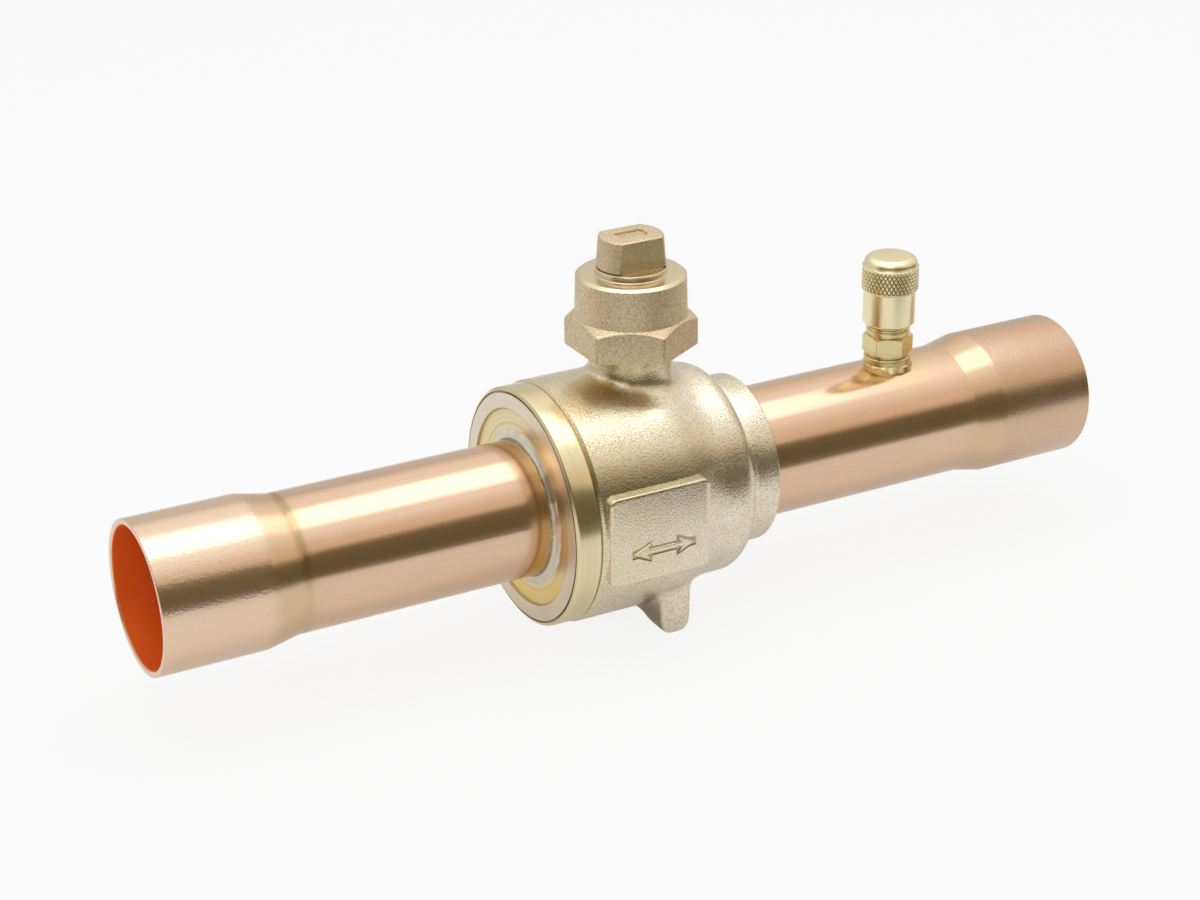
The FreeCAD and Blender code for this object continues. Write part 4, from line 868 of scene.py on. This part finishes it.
def port_mesh():
    base = turn(ABOUT_STEM, [
        (10, 0), (10, PORT_BASE), (16.0, PORT_BASE, 0.45), (16.15, 4.4), (PORT_HEX_FOOT + 1, 4.4),
        (PORT_HEX_FOOT + 1, 0)], 96, ON_PORT)
    hexagon = moved(raise_outline("Z", hexagon_corners(9.6, 0.25), PORT_HEX_FOOT, PORT_HEX_TOP),
                    PORT_X)
    chamfers = turn(ABOUT_STEM, [
        (PORT_HEX_FOOT - 0.1, 0), (PORT_HEX_FOOT, 4.75), (PORT_HEX_FOOT + 1.0, 6.4),
        (PORT_HEX_TOP - 1.0, 6.4), (PORT_HEX_TOP, 4.75), (PORT_HEX_TOP + 0.1, 0)], 96, ON_PORT)
    thread = turn(ABOUT_STEM, [
        (PORT_HEX_TOP - 2, 0), (PORT_HEX_TOP - 2, 4.3), (PORT_HEX_TOP + 0.5, 4.3),
        (PORT_HEX_TOP + 0.7, 4.75, 0.1), (PORT_HEX_TOP + 1.3, 4.75, 0.1), (PORT_HEX_TOP + 1.5, 4.3),
        (PORT_HEX_TOP + 1.8, 4.3), (PORT_HEX_TOP + 2.3, PORT_THREAD),
        (PORT_TOP - 0.5, PORT_THREAD), (PORT_TOP, PORT_THREAD - 0.5), (PORT_TOP, 0)], 96, ON_PORT)
    groove = thread_groove(PORT_THREAD, 0.62, 1.27, PORT_HEX_TOP + 2.0, PORT_TOP + 1.2,
                           ON_PORT, 36)
    thread = combine("DIFFERENCE", thread, groove)
    spigot = turn(ABOUT_STEM, [(TUBE_BORE, 0), (TUBE_BORE, 3.15), (15, 3.15), (15, 0)], 48,
                  ON_PORT)
    bore = turn(ABOUT_STEM, [(5, 0), (5, 1.3), (20.6, 1.3), (20.6, 2.65), (PORT_TOP - 0.3, 2.65),
                             (PORT_TOP + 0.3, 3.25), (PORT_TOP + 0.3, 0)], 48, ON_PORT)
    port = combine("UNION", base, combine("INTERSECT", hexagon, chamfers), thread)
    port = combine("UNION", combine("DIFFERENCE", port, tube_under_port()), spigot)
    return combine("DIFFERENCE", port, bore)


def port_brass():
    """Bright yellow bar brass, turned, golden brown where the braze torch has been."""
    finish = Finish("port_brass", Metallic=1.0)
    radius = finish.about_stem(PORT_X)
    marks = finish.tool_marks(finish.z, radius, 0.12)
    patches = finish.mottle(1.6, 3.0)
    colour = finish.mix(patches, (0.76, 0.63, 0.30), (0.90, 0.79, 0.47))
    heat = finish.z.step(19.0, 15.5) * patches.step(0.25, 0.65)
    colour = finish.mix(heat * 0.55, colour, (0.62, 0.40, 0.13))
    return finish.done(colour, 0.20 + marks * 0.12 + heat * 0.1, marks, 0.012)


port_finish = port_brass()
make_piece("access_port_turning", port_mesh(), [port_finish], "valve",
           ["access_port"])


# Core spring: steel wire coiled between the floor of the valve core and the pin's collar.
# It shuts the poppet; the real one shortens as the pin is pressed, but this coil keeps one length.
SPRING_FOOT = 24.6
SPRING_TOP = 30.6
SPRING_RADIUS = 1.1
SPRING_WIRE = 0.17
SPRING_TURNS = 5


def spring_mesh(steps=40):
    mesh = bmesh.new()
    start = Vector((PORT_X + SPRING_RADIUS, 0, SPRING_FOOT + SPRING_WIRE))
    upright = Matrix.Rotation(math.pi / 2, 4, "X")
    bmesh.ops.create_circle(mesh, cap_ends=False, segments=14, radius=SPRING_WIRE * MM,
                            matrix=Matrix.Translation(start * MM) @ upright)
    rise = (SPRING_TOP - SPRING_FOOT - 2 * SPRING_WIRE) / (SPRING_TURNS * steps)
    bmesh.ops.spin(mesh, geom=mesh.verts[:] + mesh.edges[:], cent=Vector(ON_PORT) * MM,
                   axis=ABOUT_STEM, dvec=Vector((0, 0, rise)) * MM,
                   angle=2 * math.pi * SPRING_TURNS, steps=SPRING_TURNS * steps, use_merge=False)
    fill_ends(mesh)
    return closed(mesh)


spring = make_piece("core_spring_coil", spring_mesh(), [pin_finish], "valve",
                    ["core_spring"])
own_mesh(spring)


# Port braze: a small fillet that crept out round the port's base on the stub, stained
# golden brown by the torch.
def port_braze_mesh():
    mesh = turn(ABOUT_STEM, [(9, 4.9), (9, 6.1), (13.2, 5.95, 0.5), (14.3, 5.35, 0.8), (14.8, 4.9)],
                128, ON_PORT, tube=True)
    split_long_edges(mesh, 3)
    for vert in mesh.verts:
        spot = vert.co / MM - Vector(ON_PORT)
        outward = Vector((spot.x, spot.y, 0)).normalized()
        if spot.xy.length > 5.0:
            vert.co += outward * noise.noise(spot * 0.7) * 0.25 * MM
    return combine("DIFFERENCE", closed(mesh), tube_under_port())


def stained_braze():
    finish = Finish("stained_braze", Metallic=1.0)
    stain = finish.mottle(1.4, 3.0)
    grain = finish.mottle(0.3, 3.0)
    colour = finish.mix(stain.step(0.3, 0.7), (0.60, 0.41, 0.18), (0.86, 0.70, 0.42))
    return finish.done(colour, 0.26 + grain * 0.15, stain + grain * 0.3, 0.05)


make_piece("access_port_braze", port_braze_mesh(), [stained_braze()], "valve",
           ["access_braze"], sharp=60)


# Access cap: turned brass with a diamond-knurled grip under a rounded crown. It screws on
# the port against a rubber disc.
LID_FOOT = 23.4
LID_BARREL = 5.65
LID_GRIP = 6.1
KNURL_FOOT = 31.5
KNURL_TOP = 36.7
LID_TOP = 38.8
DIAMONDS_ROUND = 40
DIAMOND_RISE = 1.6
KNURL_DEPTH = 0.36
STEPS_A_DIAMOND = 10
KNURL_ROWS = 52


def ridge(count):
    """1 on the crest between two grooves, 0 in a groove."""
    return 1 - abs(2 * (count % 1) - 1)


def lid_mesh():
    corners = [
        (LID_FOOT, 5.05), (LID_FOOT, LID_BARREL - 0.5, 0.1), (LID_FOOT + 0.5, LID_BARREL, 0.3),
        (KNURL_FOOT - 0.35, LID_BARREL, 0.2), (KNURL_FOOT, LID_GRIP), (KNURL_TOP, LID_GRIP),
        (36.85, LID_GRIP - 0.15), (LID_TOP, 5.35, 1.75), (LID_TOP, 0)]
    outline = corners + [(35.3, 0), (35.3, 5.05)]
    mesh = bmesh.new()
    place = Vector(ON_PORT)
    verts = [mesh.verts.new((place + Vector((corner[1], 0, corner[0]))) * MM)
             for corner in outline]
    for pair in zip(verts, verts[1:]):
        if pair[0] is not verts[len(corners) - 1]:
            mesh.edges.new(pair)
    mesh.edges.new((verts[-1], verts[0]))
    round_corners(mesh, outline, verts)
    grip = [edge for edge in mesh.edges if edge.calc_length() > (KNURL_TOP - KNURL_FOOT - 0.1) * MM
            and all(abs(vert.co.x / MM - PORT_X - LID_GRIP) < 1e-3 for vert in edge.verts)]
    bmesh.ops.subdivide_edges(mesh, edges=grip, cuts=KNURL_ROWS)
    bmesh.ops.spin(mesh, geom=mesh.verts[:] + mesh.edges[:], cent=place * MM, axis=ABOUT_STEM,
                   angle=2 * math.pi, steps=DIAMONDS_ROUND * STEPS_A_DIAMOND, use_merge=True)
    closed(mesh)
    for vert in mesh.verts:
        spot = vert.co / MM - place
        on_grip = abs(spot.xy.length - LID_GRIP) < 0.01
        if not on_grip or not KNURL_FOOT - 0.01 < spot.z < KNURL_TOP + 0.01:
            continue
        around = DIAMONDS_ROUND * math.atan2(spot.y, spot.x) / (2 * math.pi)
        rise = (spot.z - KNURL_FOOT) / DIAMOND_RISE
        crest = min(1, 2.6 * min(ridge(around + rise), ridge(around - rise)))
        fade = min(1, (KNURL_TOP - spot.z) / 0.7, (spot.z - KNURL_FOOT + 0.15) / 0.3)
        inward = Vector((spot.x, spot.y, 0)).normalized() * -KNURL_DEPTH * fade * (1 - crest)
        vert.co += inward * MM
    return mesh


def lid_brass():
    """Bright turned brass, with painted shade in the grooves of the knurl."""
    finish = Finish("lid_brass", Metallic=1.0)
    radius = finish.about_stem(PORT_X)
    marks = finish.tool_marks(finish.z, radius, 0.12)
    patches = finish.mottle(1.6, 3.0)
    colour = finish.mix(patches, (0.93, 0.82, 0.47), (0.97, 0.91, 0.66))
    # Painted shade in the knurl's grooves
    knurl_shade = radius.step(LID_GRIP - 0.06, LID_GRIP - 0.30)
    knurl_shade = knurl_shade * finish.z.step(KNURL_FOOT, KNURL_FOOT + 0.2)
    knurl_shade = knurl_shade * finish.z.step(KNURL_TOP, KNURL_TOP - 0.3)
    colour = finish.mix(knurl_shade * 0.6, colour, (0.32, 0.21, 0.07))
    return finish.done(colour, 0.20 + marks * 0.1 + knurl_shade * 0.2, marks, 0.010)


make_piece("access_cap_knurled", lid_mesh(), [lid_brass()], "access_cap",
           ["access_cap"])


# Studio: a pale floor under the foot, soft boxes above, and white all round but for a
# round net, brown in front and sheer behind and above, and a brown cloth before it.
FLOOR_LEVEL = -27.75
NET_DISTANCE = 600
NET_TOP = 900
CLOTH_EDGE = [(590, -130), (60, -135), (10, -160), (-20, -268), (-60, -590)]


def stage_object(name, mesh, material):
    item = new_object(name, mesh)
    item.data.materials.append(material)
    return item


def ray(nodes, kind):
    """1 for rays of one kind."""
    return nodes.add("ShaderNodeLightPath", output=f"Is {kind} Ray")


def pale_floor():
    """Whiter to the camera than to metal, which mirrors the shadow under the valve too."""
    finish = Finish("pale_floor", Roughness=0.8)
    fleck = finish.mottle(6.0, 2.0)
    finish.link(finish.mix(fleck, (0.92, 0.92, 0.92), (0.96, 0.96, 0.96)),
                finish.shader.inputs["Base Color"])
    glow = finish.add("ShaderNodeEmission", None, (1.0, 1.0, 1.0), 1.0)
    surface = Signal(finish, finish.shader.outputs[0])
    share = ray(finish, "Camera") * 0.86 + ray(finish, "Glossy") * 0.3
    blend = finish.add("ShaderNodeMixShader", None, share.smaller(1), surface, glow)
    finish.link(blend, finish.tree.nodes["Material Output"].inputs["Surface"])
    return finish.material


def brown_cloth():
    """Brown and thick low in front, lower to the right; tan and sheer above it."""
    finish = Finish("brown_cloth", Roughness=0.9)
    folds = finish.mottle(40.0, 2.0, stretch=(1.0, 1.0, 0.1))
    brown = finish.mix(folds, (0.17, 0.145, 0.07), (0.21, 0.175, 0.095))
    height = finish.z + finish.x.larger(60) * 0.62
    brown = finish.mix(height.step(430, 560), brown, (0.80, 0.55, 0.25))
    finish.link(brown, finish.shader.inputs["Base Color"])
    before = finish.y.step(60, -60)
    front = 1 - height.step(440, 570) * 0.45 - height.step(640, 1150) * 0.55
    behind = finish.z.step(600, 330) * 0.42
    finish.link(front * before + behind * (1 - before), finish.shader.inputs["Alpha"])
    return finish.material


def net_mesh():
    mesh = bmesh.new()
    low = mesh.verts.new(Vector((NET_DISTANCE, 0, FLOOR_LEVEL + 0.5)) * MM)
    high = mesh.verts.new(Vector((NET_DISTANCE, 0, NET_TOP)) * MM)
    side = mesh.edges.new((low, high))
    bmesh.ops.spin(mesh, geom=[low, high, side], cent=(0, 0, 0), axis=ABOUT_STEM,
                   angle=2 * math.pi, steps=96, use_merge=True)
    return mesh


floor = bmesh.new()
bmesh.ops.create_circle(floor, cap_ends=True, segments=64, radius=4,
                        matrix=Matrix.Translation((0, 0, FLOOR_LEVEL * MM)))
stage_object("floor", floor, pale_floor())
cloth_finish = brown_cloth()
cloth = bmesh.new()
cloth.faces.new([cloth.verts.new(Vector((x, y, FLOOR_LEVEL + 0.3)) * MM)
                 for x, y in CLOTH_EDGE + [(590, -590)]])
for name, mesh in (("net", net_mesh()), ("cloth", cloth)):
    shade = stage_object(name, mesh, cloth_finish)
    shade.visible_camera = False
    shade.visible_diffuse = False
    shade.visible_shadow = False

world = bpy.data.worlds.new("studio")
bpy.context.scene.world = world
world.use_nodes = True
sky = Nodes(world.node_tree)
seen = (ray(sky, "Camera") + ray(sky, "Glossy") + ray(sky, "Transmission")).smaller(1)
light = sky.add("ShaderNodeBackground", None, (1.0, 1.0, 1.0), seen * 0.45 + 0.55)
sky.link(light, world.node_tree.nodes["World Output"].inputs["Surface"])


def soft_box(name, spot, aim, width, height, watts):
    lamp = bpy.data.lights.new(name, "AREA")
    lamp.shape = "RECTANGLE"
    lamp.size, lamp.size_y = width, height
    lamp.energy = watts
    item = bpy.data.objects.new(name, lamp)
    item.location = spot
    item.rotation_euler = (Vector(aim) - Vector(spot)).to_track_quat("-Z", "Y").to_euler()
    bpy.context.scene.collection.objects.link(item)


soft_box("overhead_box", (0.0, 0.05, 0.85), (0, 0, 0), 1.1, 0.55, 2.2)
soft_box("front_box", (-0.55, -0.75, 0.75), (0, 0, 0.01), 0.5, 0.5, 1.2)

bpy.context.scene.view_settings.view_transform = "Standard"
